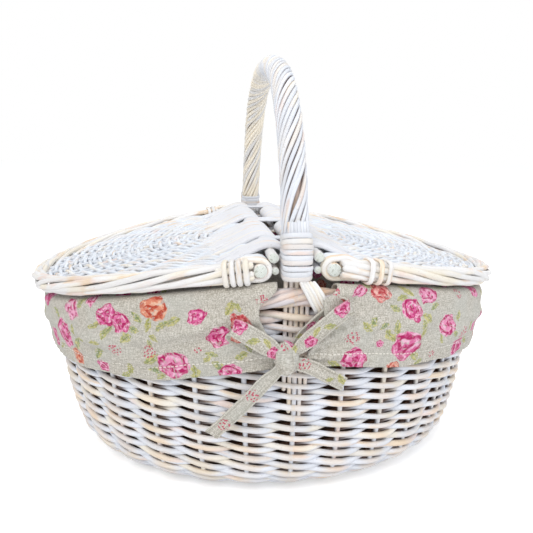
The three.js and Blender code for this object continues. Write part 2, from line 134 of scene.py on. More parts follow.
def hump(x, middle, width):
    """1 at the middle, falling away smoothly on both sides."""
    return np.exp(-(((x - middle) / width) ** 2))


def spline(points, count):
    """Catmull-Rom curve through the points, sampled evenly along its length."""
    p = np.asarray(points, float)
    p = np.vstack([2 * p[0] - p[1], p, 2 * p[-1] - p[-2]])
    fine = []
    t = np.linspace(0, 1, 40, endpoint=False)[:, None]
    for a, b, c, d in zip(p, p[1:], p[2:], p[3:]):
        square, cube = 2 * a - 5 * b + 4 * c - d, 3 * b - a - 3 * c + d
        fine.append(0.5 * (2 * b + (c - a) * t + square * t**2 + cube * t**3))
    return resample(np.vstack(fine + [p[-2][None]]), count)


def resample(path, count):
    length = arc_length(path)
    at = np.linspace(0, length[-1], count)
    return np.stack([np.interp(at, length, column) for column in path.T], -1)


def resample_loop(path, count):
    return resample(np.vstack([path, path[:1]]), count + 1)[:-1]


def arc_length(path):
    steps = np.linalg.norm(np.diff(path, axis=0), axis=1)
    return np.concatenate([[0], np.cumsum(steps)])


def smoothed(values, times):
    """Values with each inner row evened out towards its neighbours, a number of times."""
    values = values.copy()
    for _ in range(times):
        values[1:-1] = values[1:-1] * 0.5 + (values[:-2] + values[2:]) * 0.25
    return values


def squarish(turn, power):
    """Cosine and sine of a turn, bent from a circle towards a square as the power gets smaller."""
    c, s = np.cos(turn), np.sin(turn)
    return np.sign(c) * np.abs(c) ** power, np.sign(s) * np.abs(s) ** power


class Wobble:
    """Smooth seeded noise along a length, made of a few sine waves."""

    def __init__(self, rng, wavelength, size, waves=4):
        self.rate = TAU / (wavelength * rng.uniform(0.6, 1.8, waves))
        self.phase = rng.uniform(0, TAU, waves)
        self.size = size * rng.uniform(0.4, 1.0, waves) / math.sqrt(waves)

    def __call__(self, s):
        s = np.asarray(s, float)[..., None]
        return (self.size * np.sin(s * self.rate + self.phase)).sum(-1)


# ---------------------------------------------------------------- meshes
SHARP_ANGLE = math.radians(64)
# columns of the table that Rods keeps for its points
POINT, GRAIN, BARE_AND_SHADE, CUT, WARM, TONE = slice(0, 3), slice(3, 6), 6, 7, 8, 9
# (how far an end ring stands out, how much narrower it is), in parts of the rod's radius
SAWN_END = (0.12, 0.86)
ROUNDED_END = (0.55, 0.6)


def make_mesh(name, points, quads, triangles, attributes, material, body, nodes):
    """One piece of the basket: points in millimetres, faces, and attributes per point or per face corner."""
    mesh = bpy.data.meshes.new(name)
    mesh.vertices.add(len(points))
    mesh.vertices.foreach_set("co", (points * MM).astype(np.float32).ravel())
    corners = np.concatenate([quads.ravel(), triangles.ravel()])
    sizes = np.repeat([4, 3], [len(quads), len(triangles)])
    mesh.loops.add(len(corners))
    mesh.loops.foreach_set("vertex_index", corners.astype(np.int32))
    mesh.polygons.add(len(sizes))
    mesh.polygons.foreach_set("loop_start", (np.cumsum(sizes) - sizes).astype(np.int32))
    mesh.polygons.foreach_set("use_smooth", np.ones(len(sizes), bool))
    mesh.update(calc_edges=True)
    for key, values in attributes.items():
        values = values.astype(np.float32)
        kind, field = ("FLOAT_VECTOR", "vector") if values.ndim == 2 else ("FLOAT", "value")
        domain = "POINT" if len(values) == len(points) else "CORNER"
        mesh.attributes.new(key, kind, domain).data.foreach_set(field, values.ravel())
    mesh.validate()
    mesh.materials.append(material)
    piece = bpy.data.objects.new(name, mesh)
    bpy.context.scene.collection.objects.link(piece)
    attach(piece, body)
    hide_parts(*nodes)
    return piece


class Rods:
    """A group of willow rods that becomes one piece. Each rod is a closed tube with its own tone."""

    def __init__(self, seed):
        self.rng = np.random.default_rng(seed)
        self.rows, self.quads, self.triangles = [], [], [np.zeros((0, 3), int)]
        self.total = 0

    def add(
        self, path, radius, facing, sides=8, closed=False, flat=1.0, tone=None, bare=0.0, warm=0.0, cut=(0, 0)
    ):
        """path is (n, 3); facing is the direction that the rod's outer side looks in.
        bare is 0 where the whitewash covers the rod and 1 where it is raw brown wood, which deep in the weave
        and in the handle's grooves is painted shade; it may be a function of the rings' points. warm tints
        places along the path cream, and on the handle's rear half is painted warm light. cut marks ends that
        are sawn flat."""
        n = len(path)
        radius = np.broadcast_to(radius, n)[:, None]
        along = unit(np.roll(path, -1, 0) - np.roll(path, 1, 0) if closed else np.gradient(path, axis=0))
        side = unit(np.cross(along, facing))
        out = np.cross(side, along)
        turn = np.arange(sides) / sides * TAU
        c, s = np.cos(turn), np.sin(turn)
        spokes = c[:, None] * side[:, None] + flat * s[:, None] * out[:, None]
        rings = path[:, None] + radius[..., None] * spokes
        offset = self.rng.uniform(0, 4000, 3)
        tone = self.rng.uniform(0, 1) if tone is None else tone
        grain = xyz(arc_length(path)[:, None], radius * c, radius * s)
        bareness_and_shade = bare(rings) if callable(bare) else bare
        looks = [np.broadcast_to(v, (n, sides)) for v in (bareness_and_shade, 0.0, np.reshape(warm, (-1, 1)), tone)]
        table = np.concatenate([rings, grain, np.stack(looks, -1)], -1)
        tips = []
        if not closed:
            table, tips = self.with_ends(table, path, along, radius, cut)
        index = self.total + np.arange(len(table) * sides).reshape(-1, sides)
        here, ahead = (index, np.roll(index, -1, 0)) if closed else (index[:-1], index[1:])
        faces = np.stack([here, ahead, np.roll(ahead, -1, 1), np.roll(here, -1, 1)], -1)
        self.quads.append(faces.reshape(-1, 4))
        table = np.vstack([table.reshape(-1, table.shape[-1])] + tips)
        table[:, GRAIN] += offset
        self.rows.append(table)
        self.total += len(table)
        if not closed:
            first, last = index[0], index[-1]
            for near, far, tip in ((first, np.roll(first, -1), 2), (np.roll(last, -1), last, 1)):
                self.triangles.append(np.stack([near, far, np.full(sides, self.total - tip)], -1))

    @staticmethod
    def with_ends(table, path, along, radius, cut):
        """The table with a ring that rounds or chamfers each end, and the two points in the ends' middles."""
        rings, tips = [], []
        for at, sign in ((0, -1), (-1, 1)):
            push, narrower = SAWN_END if cut[at] else ROUNDED_END
            ring = table[at].copy()
            ring[:, POINT] = path[at] + (ring[:, POINT] - path[at]) * narrower
            ring[:, POINT] += sign * along[at] * radius[at] * push
            ring[:, GRAIN] *= [1, narrower, narrower]
            ring[:, CUT] = cut[at]
            tip = ring.mean(0)
            tip[CUT] = cut[at] / 2
            rings.append(ring[None])
            tips.append(tip)
        return np.concatenate([rings[0], table, rings[1]]), tips

    def piece(self, name, material, body, slot, *nodes):
        rows = np.concatenate(self.rows)
        attributes = {"grain": rows[:, GRAIN] * MM, "tone": rows[:, TONE]}
        attributes |= {"bare": rows[:, BARE_AND_SHADE], "cut": rows[:, CUT], "warm": rows[:, WARM]}
        quads, triangles = np.concatenate(self.quads), np.concatenate(self.triangles)
        made = make_mesh(name, rows[:, POINT], quads, triangles, attributes, material, body, nodes)
        made.data.set_sharp_from_angle(angle=SHARP_ANGLE)


def nearest_motif(cloth, repeat, motifs):
    """Per face corner, the place (x, y) in the nearest motif, whose size counts as 1, and its number.
    cloth is (faces, 4, 2); each motif is (x, y, size, turn, ...)."""
    table = np.array([motif[:4] for motif in motifs], float)
    centre = cloth.mean(1)
    away = centre[:, None] - table[None, :, :2]
    away -= np.round(away / repeat) * repeat
    chosen = np.argmin(np.linalg.norm(away, axis=-1) / table[None, :, 2], axis=1)
    local = cloth - centre[:, None] + away[np.arange(len(chosen)), chosen][:, None]
    size, turn = table[chosen, 2][:, None], table[chosen, 3][:, None]
    x = (local[..., 0] * np.cos(turn) + local[..., 1] * np.sin(turn)) / size
    y = (local[..., 1] * np.cos(turn) - local[..., 0] * np.sin(turn)) / size
    return x, y, chosen


def sheet(
    name, node, grid, thickness, cloth, material, pattern, wrap=0.0, both_sides=False, above_hem=None
):
    """A closed cloth shell on the basket, from a (rows, columns, 3) grid. cloth is the matching
    (rows, columns, 2) place on the printed cloth, in millimetres. wrap is the cloth's length round a tube,
    whose last column meets the first. above_hem goes to the attribute "hem"."""
    total = grid.shape[0] * grid.shape[1]
    index = np.arange(total).reshape(grid.shape[:2])
    if wrap:
        du = np.roll(grid, -1, 1) - np.roll(grid, 1, 1)
        a, b = index, np.roll(index, -1, 1)
    else:
        du = np.gradient(grid, axis=1)
        a, b = index[:, :-1], index[:, 1:]
    half = unit(np.cross(du, np.gradient(grid, axis=0))) * thickness / 2
    points = np.concatenate([(grid + half).reshape(-1, 3), (grid - half).reshape(-1, 3)])
    front = np.stack([a[:-1], b[:-1], b[1:], a[1:]], -1).reshape(-1, 4)
    edges = [(a[0], b[0], True), (a[-1], b[-1], False)]
    if not wrap:
        edges += [(index[:-1, 0], index[1:, 0], False), (index[:-1, -1], index[1:, -1], True)]
    quads = [front, front[:, ::-1] + total]
    for near, far, flip in edges:
        loop = [near + total, far + total, far, near] if flip else [near, far, far + total, near + total]
        quads.append(np.stack(loop, -1))
    quads = np.concatenate(quads)
    place = cloth.reshape(-1, 2)[quads % total]
    if wrap:
        jump = place[..., 0] - place[:, :1, 0]
        place[..., 0] -= np.round(jump / wrap) * wrap
    repeat, roses, leaves, dots = pattern
    rose_x, rose_y, rose = nearest_motif(place, repeat, roses)
    leaf_x, leaf_y, leaf = nearest_motif(place, repeat, leaves)
    dot_x, dot_y, _ = nearest_motif(place, repeat, [spot + (0,) for spot in dots])
    orange, pale = np.array([motif[4:6] for motif in roses], float)[rose].T[..., None]
    flat = np.zeros(place.shape[:2])
    attributes = {
        "cloth": xyz(place[..., 0] * MM, place[..., 1] * MM, 0),
        "rose": xyz(rose_x, rose_y, rose[:, None]),
        "rose_look": xyz(flat + orange, flat + pale, 0),
        "leaf": xyz(leaf_x, leaf_y, leaf[:, None]),
    }
    attributes = {key: values.reshape(-1, 3) for key, values in attributes.items()}
    attributes["dots"] = np.hypot(dot_x, dot_y).ravel()
    attributes["inner"] = np.repeat([0.0, 0.0 if both_sides else 1.0], total)
    attributes["hem"] = np.tile(np.full(total, NO_HEM) if above_hem is None else above_hem.ravel(), 2)
    make_mesh(name, points, quads, np.zeros((0, 3)), attributes, material, "basket", (node,))


# ---------------------------------------------------------------- materials
# The attribute "hem" is the height above a skirt's hem, or on a tie TIE_EDGE plus the distance from its edge.
STITCH_ROW = 11.5
TIE_EDGE = 300.0
NO_HEM = 99.0


def srgb(red, green, blue):
    """A display colour, 0 to 255, as linear RGBA."""
    def linear(c):
        c /= 255
        return c / 12.92 if c <= 0.04045 else ((c + 0.055) / 1.055) ** 2.4
    return (linear(red), linear(green), linear(blue), 1.0)


class Graph:
    """Short calls for building a node tree. Any input may be a number, a tuple or another node's output."""

    def __init__(self, tree):
        self.tree = tree

    def node(self, kind, *inputs, **settings):
        made = self.tree.nodes.new("ShaderNode" + kind)
        for key, value in settings.items():
            setattr(made, key, value)
        for socket, value in zip(made.inputs, inputs):
            self.put(socket, value)
        return made

    def put(self, socket, value):
        if isinstance(value, bpy.types.NodeSocket):
            self.tree.links.new(value, socket)
        else:
            socket.default_value = value

    def math(self, operation, a, b=0.0, c=0.0):
        return self.node("Math", a, b, c, operation=operation).outputs[0]

    def times(self, a, b, plus=None):
        return self.math("MULTIPLY", a, b) if plus is None else self.math("MULTIPLY_ADD", a, b, plus)

    def sine(self, angle):
        return self.math("SINE", angle)

    def apart(self, a, b):
        """How far two numbers are from each other."""
        return self.math("ABSOLUTE", self.math("SUBTRACT", a, b))

    def scaled(self, vector, scales):
        return self.node("VectorMath", vector, scales, operation="MULTIPLY").outputs["Vector"]

    def split(self, vector):
        return tuple(self.node("SeparateXYZ", vector).outputs)

    def join(self, x, y, z=0.0):
        return self.node("CombineXYZ", x, y, z).outputs[0]

    def mix(self, factor, a, b, strength=None):
        """From a to b by factor, times strength if given. Colours of three numbers are display colours."""
        factor = factor if strength is None else self.times(factor, strength)
        made = self.node("Mix", factor, data_type="RGBA")
        for socket, colour in ((made.inputs[6], a), (made.inputs[7], b)):
            self.put(socket, srgb(*colour) if isinstance(colour, tuple) and len(colour) == 3 else colour)
        return made.outputs[2]

    def tint(self, colour, factor, amount):
        """colour made lighter or darker: multiplied by 1 + (factor - 0.5) * amount."""
        scale = self.times(factor, amount, 1 - amount / 2)
        made = self.node("VectorMath", colour, operation="SCALE")
        self.put(made.inputs["Scale"], scale)
        return made.outputs[0]

    def step(self, value, low, high):
        """0 below low, 1 above high, smooth between them. low may be above high."""
        flipped = low > high
        ends = (high, low, 1.0, 0.0) if flipped else (low, high, 0.0, 1.0)
        return self.node("MapRange", value, *ends, interpolation_type="SMOOTHSTEP").outputs[0]

    def noise(self, vector, scale=1.0, detail=2.0, output="Fac", stretch=None):
        """Noise over a place, which stretch may first scale by another amount along each axis."""
        vector = vector if stretch is None else self.scaled(vector, stretch)
        made = self.node("TexNoise")
        for key, value in (("Vector", vector), ("Scale", scale), ("Detail", detail)):
            self.put(made.inputs[key], value)
        return made.outputs[output]

    def attribute(self, name, output="Fac"):
        return self.node("Attribute", attribute_name=name).outputs[output]

    def bump(self, height, distance, strength):
        made = self.node("Bump")
        for key, value in (("Distance", distance), ("Strength", strength), ("Height", height)):
            self.put(made.inputs[key], value)
        return made.outputs[0]


def new_material(name, **inputs):
    """A material, its graph and its surface, whose inputs are given with _ for each space in their names."""
    material = bpy.data.materials.new(name)
    material.use_nodes = True
    surface = material.node_tree.nodes["Principled BSDF"]
    for key, value in inputs.items():
        surface.inputs[key.replace("_", " ")].default_value = value
    return material, Graph(material.node_tree), surface


def willow(name, wash, warm_wash, wood, wear, warmth):
    """Willow with a thin whitewash. wear is how much wood shows through, warmth how creamy the wash is."""
    material, g, surface = new_material(name, Specular_IOR_Level=0.35)
    grain = g.attribute("grain", "Vector")
    tone, bare, warm, cut = [g.attribute(key) for key in ("tone", "bare", "warm", "cut")]
    place = g.node("TexCoord").outputs["Object"]

    patches = g.times(tone, 0.16, g.noise(grain, 1.0, 2.0, stretch=(34, 130, 130)))
    worn = g.step(patches, 0.70 - wear, 0.86 - wear)
    creamy = g.step(g.noise(grain, 1.0, 1.0, stretch=(22, 60, 60)), 0.62 - warmth, 0.78 - warmth)
    fibre = g.noise(grain, 1.0, 3.0, stretch=(45, 1900, 1900))
    speck = g.step(g.noise(grain, 1.0, 1.0, stretch=(420, 900, 900)), 0.70, 0.76)

    rosy = g.mix(g.step(g.noise(place, 38.0, 1.0), 0.42, 0.60), wood, (236, 216, 206))
    colour = g.mix(creamy, wash, warm_wash)
    colour = g.mix(worn, colour, rosy, 0.8)
    colour = g.mix(g.step(fibre, 0.62, 0.74), colour, (196, 184, 172), 0.28)
    # warm turns the wash towards the wood colour: cream on crests, splints and some binding turns, and on the
    # handle's rear half painted warm light
    colour = g.mix(g.times(warm, g.times(g.step(patches, 0.44, 0.62), 0.6, 0.4)), colour, wood)
    colour = g.mix(speck, colour, (150, 118, 92), 0.25)
    colour = g.tint(colour, tone, 0.11)
    # raw brown wood where the whitewash is missing; deep in the weave and in the handle's grooves this dark
    # brown is painted shade
    colour = g.mix(bare, colour, g.mix(fibre, (64, 40, 28), (122, 80, 56)))

    # sawn ends: pale, with faint rings and grey-green flecks
    rings = g.times(g.noise(place, 900.0, 2.0), 1.4, g.sine(g.times(cut, 62.0)))
    sawn = g.mix(g.step(rings, 0.2, 1.4), (235, 240, 235), (204, 210, 202))
    sawn = g.mix(g.step(g.noise(place, 420.0, 3.0), 0.54, 0.68), sawn, (186, 191, 180))
    colour = g.mix(g.step(cut, 0.30, 0.45), colour, sawn)

    g.put(surface.inputs["Base Color"], colour)
    g.put(surface.inputs["Roughness"], g.times(bare, 0.2, g.times(fibre, 0.22, 0.42)))
    ridges = g.noise(grain, 1.0, 2.0, stretch=(22, 520, 520))
    g.put(surface.inputs["Normal"], g.bump(g.times(ridges, 1.6, fibre), 0.00022, 0.6))
    return material


def rose(g, below):
    """The print's roses over the colour below: petals as short brushed arcs round a dark heart."""
    orange, pale, _ = g.split(g.attribute("rose_look", "Vector"))
    x, y, seed = g.split(g.attribute("rose", "Vector"))
    place = g.join(x, y, g.times(seed, 3.7))
    shift = g.node("VectorMath", g.noise(place, 1.7, 1.0, "Color"), (0.5, 0.5, 0.5), operation="SUBTRACT")
    shift = g.scaled(shift.outputs[0], (0.42, 0.42, 0))
    wobbled = g.node("VectorMath", place, shift, operation="ADD").outputs[0]
    x, y, _ = g.split(wobbled)
    radius = g.math("SQRT", g.times(x, x, g.times(y, y)))
    angle = g.math("ARCTAN2", y, x)
    lobes = g.times(g.sine(g.times(angle, 5.0, seed)), 0.07, 0.98)
    body = g.step(g.math("SUBTRACT", radius, lobes), 0.05, -0.03)

    # petals: rows of short arcs that step round with the radius
    waves = g.sine(g.times(angle, 3.0, seed))
    arcs = g.step(g.sine(g.times(waves, 1.2, g.times(radius, 9.0, angle))), -0.15, 0.65)
    brush = g.noise(wobbled, 1.0, 3.0, stretch=(3.4, 3.4, 1))
    stroke = g.times(arcs, g.step(brush, 0.34, 0.52))
    heart = g.times(g.step(radius, 0.38, 0.12), g.step(brush, 0.40, 0.56))
    stroke = g.math("MAXIMUM", stroke, heart)
    rim = g.times(g.step(radius, 0.62, 0.80), g.step(g.noise(wobbled, 3.0, 1.0), 0.45, 0.60))
    stroke = g.math("MAXIMUM", stroke, g.times(rim, 0.8))

    deep = g.mix(orange, (170, 28, 92), (176, 68, 50))
    mid = g.mix(orange, (208, 84, 144), (206, 112, 84))
    light = g.mix(orange, (230, 182, 204), (226, 184, 158))
    petals = g.mix(g.step(brush, 0.44, 0.60), mid, light)
    petals = g.mix(pale, petals, light, 0.7)
    colour = g.mix(stroke, petals, deep)
    glint = g.step(g.noise(wobbled, 1.0, 2.0, stretch=(2.6, 5.5, 1)), 0.56, 0.66)
    gone = g.times(glint, g.times(pale, 0.35, 0.55))
    return g.mix(g.times(body, g.math("SUBTRACT", 1.0, gone)), below, colour)


def leaf(g, below):
    """The print's leaves: yellow-green, with a darker vein and a dry-brush edge."""
    x, y, seed = g.split(g.scaled(g.attribute("leaf", "Vector"), (1.08, 1.16, 1.0)))
    place = g.join(x, y, g.times(seed, 2.3))
    brush = g.noise(place, 2.8, 3.0)
    square = g.times(x, x)
    off_vein = g.math("ABSOLUTE", g.times(square, 0.16, y))
    half_width = g.times(g.times(square, -0.95, 0.95), brush)
    body = g.step(g.math("SUBTRACT", off_vein, half_width), 0.05, -0.04)
    cooler = g.math("FRACT", g.times(seed, 0.37))
    green = g.mix(cooler, (160, 158, 92), (126, 144, 106))
    gold = g.mix(g.step(brush, 0.42, 0.62), green, (192, 186, 128))
    colour = g.mix(g.step(off_vein, 0.09, 0.03), gold, (106, 116, 64), 0.6)
    faded = g.times(body, g.step(g.noise(place, 5.0, 2.0), 0.30, 0.52))
    return g.mix(faded, below, colour)


def printed_linen(name, back_in_shade_colour=None):
    """Linen with a faded rose print, whose motifs are placed by the attributes of each sheet."""
    material, g, surface = new_material(
        name, Roughness=0.92, Specular_IOR_Level=0.12, Sheen_Weight=0.12, Sheen_Roughness=0.6
    )
    cloth = g.attribute("cloth", "Vector")

    # linen: uneven yarns both ways, flecked grey and cream
    weft = g.noise(cloth, 1.0, 2.0, stretch=(180, 1050, 1))
    warp = g.noise(cloth, 1.0, 2.0, stretch=(1050, 180, 1))
    fleck = g.noise(cloth, 1000.0, 2.0)
    yarn = g.math("ADD", weft, warp)
    linen = g.mix(g.step(yarn, 0.82, 1.2), (174, 169, 157), (201, 196, 187))
    linen = g.mix(g.step(fleck, 0.54, 0.64), linen, (137, 133, 121), 0.68)
    linen = g.mix(g.step(fleck, 0.44, 0.34), linen, (225, 225, 217), 0.68)
    linen = g.mix(g.step(g.noise(cloth, 22.0, 1.0), 0.40, 0.62), linen, (184, 187, 181), 0.35)

    colour = rose(g, leaf(g, linen))
    cells = g.node("TexVoronoi", voronoi_dimensions="2D")
    g.put(cells.inputs["Vector"], cloth)
    cells.inputs["Scale"].default_value = 420.0
    berry = g.step(cells.outputs["Distance"], 0.38, 0.26)
    patch = g.times(berry, g.step(g.attribute("dots"), 1.0, 0.85))
    colour = g.mix(patch, colour, (186, 52, 88), 0.85)

    # a row of pale stitches holds the hem, with painted shade along the dip of the row
    hem = g.attribute("hem")
    off_row = g.apart(hem, STITCH_ROW)
    stitch = g.step(g.sine(g.times(g.split(cloth)[0], 1900.0)), -0.7, -0.3)
    stitch = g.times(stitch, g.step(off_row, 0.65, 0.35))
    # painted shade: a darker band along the stitched dip
    colour = g.mix(g.step(off_row, 2.2, 0.6), colour, (120, 112, 96), 0.14)
    colour = g.mix(stitch, colour, (240, 237, 228), 0.6)

    # the ties' edges are rolled, with a fold beside them: painted shadow along the fold and a painted
    # highlight on the rolled edge
    is_tie = g.step(hem, TIE_EDGE - 1, TIE_EDGE - 0.6)
    fold_shadow = g.step(g.apart(hem, TIE_EDGE + 1.8), 0.9, 0.3)
    colour = g.mix(g.times(is_tie, fold_shadow), colour, (112, 104, 88), 0.20)
    rolled_edge_highlight = g.step(hem, TIE_EDGE + 1.1, TIE_EDGE + 0.5)
    colour = g.mix(g.times(is_tie, rolled_edge_highlight), colour, (228, 226, 214), 0.22)

    # the print is thin, so the yarns show through it
    colour = g.tint(colour, yarn, 0.12)
    colour = g.tint(colour, fleck, 0.24)
    # the lining's back faces the weave and is painted dark brown: painted shade seen through the gaps in the
    # weave; a skirt's back is its faded print
    if back_in_shade_colour:
        wrong_side = g.tint(srgb(*back_in_shade_colour)[:3], yarn, 0.3)
    else:
        wrong_side = g.mix(0.72, colour, linen)
    colour = g.mix(g.attribute("inner"), colour, wrong_side)
    g.put(surface.inputs["Base Color"], colour)
    g.put(surface.inputs["Normal"], g.bump(g.times(fleck, 0.6, yarn), 0.00035, 0.55))
    return material


WOOD = (232, 206, 174)
WHITE_WILLOW = willow("white_willow", (229, 232, 238), (238, 233, 226), WOOD, wear=0.06, warmth=0.08)
WALL_WILLOW = willow("wall_willow", (229, 233, 241), (238, 232, 220), (234, 212, 184), wear=0.07, warmth=0.10)
CREAM_WILLOW = willow("cream_willow", (238, 237, 236), (242, 235, 220), WOOD, wear=0.10, warmth=0.12)
LID_WILLOW = willow("lid_willow", (233, 239, 247), (242, 240, 233), WOOD, wear=0.02, warmth=0.06)
LOOP_WILLOW = willow("loop_willow", (233, 234, 238), (242, 238, 232), WOOD, wear=0.02, warmth=0.10)
# the handle's light cream wood colour is painted warm light where the winding's rear half takes it on
HANDLE_WILLOW = willow("handle_willow", (230, 234, 241), (239, 234, 228), (255, 245, 225), 0.06, 0.12)
PINK_WILLOW = willow("pink_willow", (217, 211, 214), (232, 216, 198), (224, 184, 148), wear=0.16, warmth=0.20)
CORE_WILLOW = willow("core_willow", (214, 200, 190), (206, 184, 164), (190, 150, 118), wear=0.2, warmth=0.2)
PRINTED_LINEN = printed_linen("printed_linen")
# the lining's back is painted dark brown: painted shade seen through the gaps in the weave
LINING_LINEN = printed_linen("lining_linen", back_in_shade_colour=(84, 62, 52))

# A print is its repeat (length, height) and its motifs, in millimetres along and up the cloth:
# roses (x, y, radius, turn, orange, pale), leaves (x, y, half length, turn) and dot patches (x, y, radius)
LEFT_PRINT = (
    (262, 92),
    [
        (41, 52, 8.0, 0.3, 0.7, 0.1), (57, 41, 9.0, 1.1, 0, 0.2), (72, 62, 7.0, 2.0, 0, 0.2),
        (50, 7, 9.0, 0.6, 0, 0.4), (92, 18, 12.5, 1.4, 0, 0.6), (105, 68, 11.0, 2.6, 1.0, 0.3),
        (134, 53, 9.0, 0.9, 0, 0.2), (147, 59, 10.5, 2.9, 0, 0.1), (158, 8, 6.0, 0.4, 0, 0.4),
        (189, 10, 8.0, 1.9, 1.0, 0.3), (201, 28, 12.5, 0.2, 0, 0.3), (188, 53, 9.0, 1.7, 0, 0.9),
        (166, 70, 6.0, 1.2, 0, 0.5), (240, 54, 11.0, 0.4, 0, 0.1), (230, 16, 8.0, 2.0, 0, 0.2),
    ],
    [
        (48, 64, 8, 1.9), (44, 66, 6, 0.8), (62, 26, 6, 0.4), (66, 22, 5, -0.8), (40, 22, 7, 2.6),
        (58, 15, 7, 0.9), (76, 9, 8, 1.6), (108, 24, 8, 2.6), (107, 13, 8, 0.3), (104, 8, 6, -0.5),
        (98, 54, 8, -0.8), (110, 53, 7, -1.5), (90, 58, 8, -0.5), (119, 60, 7, 0.9), (103, 43, 5, 0.5),
        (128, 42, 8, -0.7), (122, 50, 6, 0.2), (158, 50, 7, 2.7), (146, 44, 7, -1.2), (154, 36, 5, 0.1),
        (168, 35, 5, 2.8), (157, 22, 8, 1.9), (130, 11, 8, 1.9), (136, 4, 6, 2.6), (182, 24, 8, 1.9),
        (184, 36, 6, 1.2), (176, 62, 7, -1.1), (214, 44, 7, 0.6), (216, 12, 6, -0.6), (250, 36, 7, 2.2),
        (12, 56, 6, 2.4), (30, 30, 7, 0.7), (108, 38, 5, 1.7), (244, 74, 6, 0.9), (220, 66, 6, 2.4),
    ],
    [(139, 29, 6), (110, 31, 6.5), (72, 30, 3), (26, 74, 5), (250, 6, 5), (208, 74, 6)],
)
RIGHT_PRINT = (
    (262, 92),
    [
        (44, 74, 7.5, 0.8, 0, 0.9), (63, 71, 9.0, 2.1, 0.7, 0.4), (109, 70, 10.0, 0.3, 0, 0.8),
        (91, 58, 9.5, 1.5, 0, 0.1), (136, 38, 9.5, 2.7, 0, 0.6), (89, 27, 13.5, 0.4, 0, 0.2),
        (44, 13, 11.0, 1.2, 0, 0.3), (81, 5, 7.5, 2.2, 0.9, 0.3), (161, 12, 9.0, 0.9, 0, 0.2),
        (64, 28, 3.2, 1.9, 0, 0.4), (186, 62, 9.5, 0.4, 0, 0.3), (200, 26, 10.5, 2.0, 0, 0.2),
        (232, 62, 10.0, 1.2, 0, 0.2), (226, 10, 8.5, 0.7, 0.8, 0.4), (252, 34, 9.0, 2.4, 0, 0.2),
    ],
    [
        (87, 74, 8, 2.4), (82, 67, 7, 0.5), (76, 57, 6, 2.8), (106, 50, 8, -0.6), (101, 45, 6, -1.3),
        (116, 57, 6, 0.3), (72, 35, 8, 2.4), (77, 42, 7, 1.7), (65, 43, 5, 0.6), (101, 16, 8, -0.8),
        (107, 9, 6, 0.4), (103, 38, 7, 0.8), (28, 9, 7, 2.6), (56, 46, 6, 0.9), (51, 42, 6, 2.4),
        (150, 45, 6, 1.6), (146, 30, 5, -0.8), (129, 27, 5, 1.9), (54, 77, 6, 2.6), (26, 44, 6, 0.9),
        (30, 60, 7, -0.7), (12, 38, 7, 0.8), (172, 30, 7, 0.4), (176, 14, 7, -0.6), (172, 72, 6, 1.4),
        (212, 50, 7, -0.7), (214, 36, 6, 0.4), (246, 74, 7, 2.2), (246, 18, 7, -0.5), (128, 76, 6, -0.4),
    ],
    [(40, 33, 6.5), (158, 29, 6), (25, 77, 5), (150, 65, 5.5), (122, 14, 4), (208, 74, 6)],
)
TIE_PRINT = (
    (96, 80),
    [
        (70, 38, 5.0, 0.5, 0, 0.3), (6, 43, 6.0, 1.6, 0, 0.3),
        (20, 40, 5.0, 0.6, 0.8, 0.4), (48, 42, 4.5, 1.6, 0, 0.5),
    ],
    [(78, 42, 5, 0.4), (88, 38, 6, -0.6), (31, 38, 6, 2.2), (58, 43, 5, 0.8)],
    [(39, 40, 3.5)],
)
TAIL_PRINT = (
    (110, 80),
    [(108, 43, 3.0, 0.5, 0, 0.3)],
    [(96, 38, 6, 0.5), (88, 42, 4, -0.6)],
    [(32, 40, 5.5), (64, 39, 5.5)],
)


# ---------------------------------------------------------------- woven wall and base
WEAVE_PITCH = 9.0  # height of one row of pairing
ROD = 2.45  # radius of a weaver
STAKE = 2.2
STAKES = 30
WEAVE_RADIAL = 3.3  # swing of a weaver in front of and behind a stake
WEAVE_DEPTH = WEAVE_RADIAL + ROD  # from the outer surface to the middle of the weave
ROW_SAMPLES = 12  # path points between two stakes
EDGE_REACH = EDGE_HALF_DEPTH - BASE_HALF_DEPTH
RIM_OVERLAP = 5.5  # how far the last rows reach up between the rim's rods
ROW_ROOM = 3.0  # a shorter row ends where less than this is left
BASE_SPOKES = 28
BASE_ROW_PITCH = 4.1
BASE_ROW_RADIUS = 1.7
DOWN = (0, 0, -1)


def profile_table():
    """Arc length, radius, height and outward direction along the wall's outer profile, from the base up."""
    turn = np.linspace(0, QUARTER, 60)
    z_wall = np.linspace(WALL_SPRING_Z, 190, 120)[1:]
    r = np.concatenate([BASE_HALF_DEPTH + EDGE_REACH * np.sin(turn), wall_half_depth(z_wall)])
    z = np.concatenate([WALL_SPRING_Z * (1 - np.cos(turn)), z_wall])
    s = arc_length(np.stack([r, z], -1))
    slope = unit(np.stack([np.gradient(r, s), np.gradient(z, s)], -1))
    return s, r, z, slope[:, 1], -slope[:, 0]


PROFILE = profile_table()


def profile_length(z):
    return np.interp(z, PROFILE[2], PROFILE[0])


EDGE_LENGTH = profile_length(WALL_SPRING_Z)


def on_wall(s, angle, inward):
    """Point and outward direction at arc length s up the profile, at a depth inside the outer surface."""
    s, angle, inward = np.broadcast_arrays(s, angle, inward)
    r, z, out_r, out_z = (np.interp(s, PROFILE[0], column) for column in PROFILE[1:])
    normal = oval_outward(r, angle, z) * out_r[..., None]
    normal[..., 2] = out_z
    return on_oval(r, angle, z) - normal * inward[..., None], normal


def stake_angles():
    """Angles of evenly spaced places round the wall; index 0 is the front centre."""
    angle = np.linspace(-QUARTER, 3 * QUARTER, 2000)
    length = arc_length(on_oval(wall_half_depth(80.0), angle, 80.0))
    return lambda index: np.interp(np.mod(index, STAKES) / STAKES * length[-1], length, angle)


STAKE_ANGLE = stake_angles()


def bare_and_shaded_behind(middle, normal, low, high):
    """Bareness that goes from 0 to 1 between two depths along the normal, measured from the middle: raw wood
    deep in the weave, painted dark as painted shade.
    """
    return lambda rings: smoothstep(low, high, ((rings - middle[:, None]) * normal[:, None]).sum(-1))


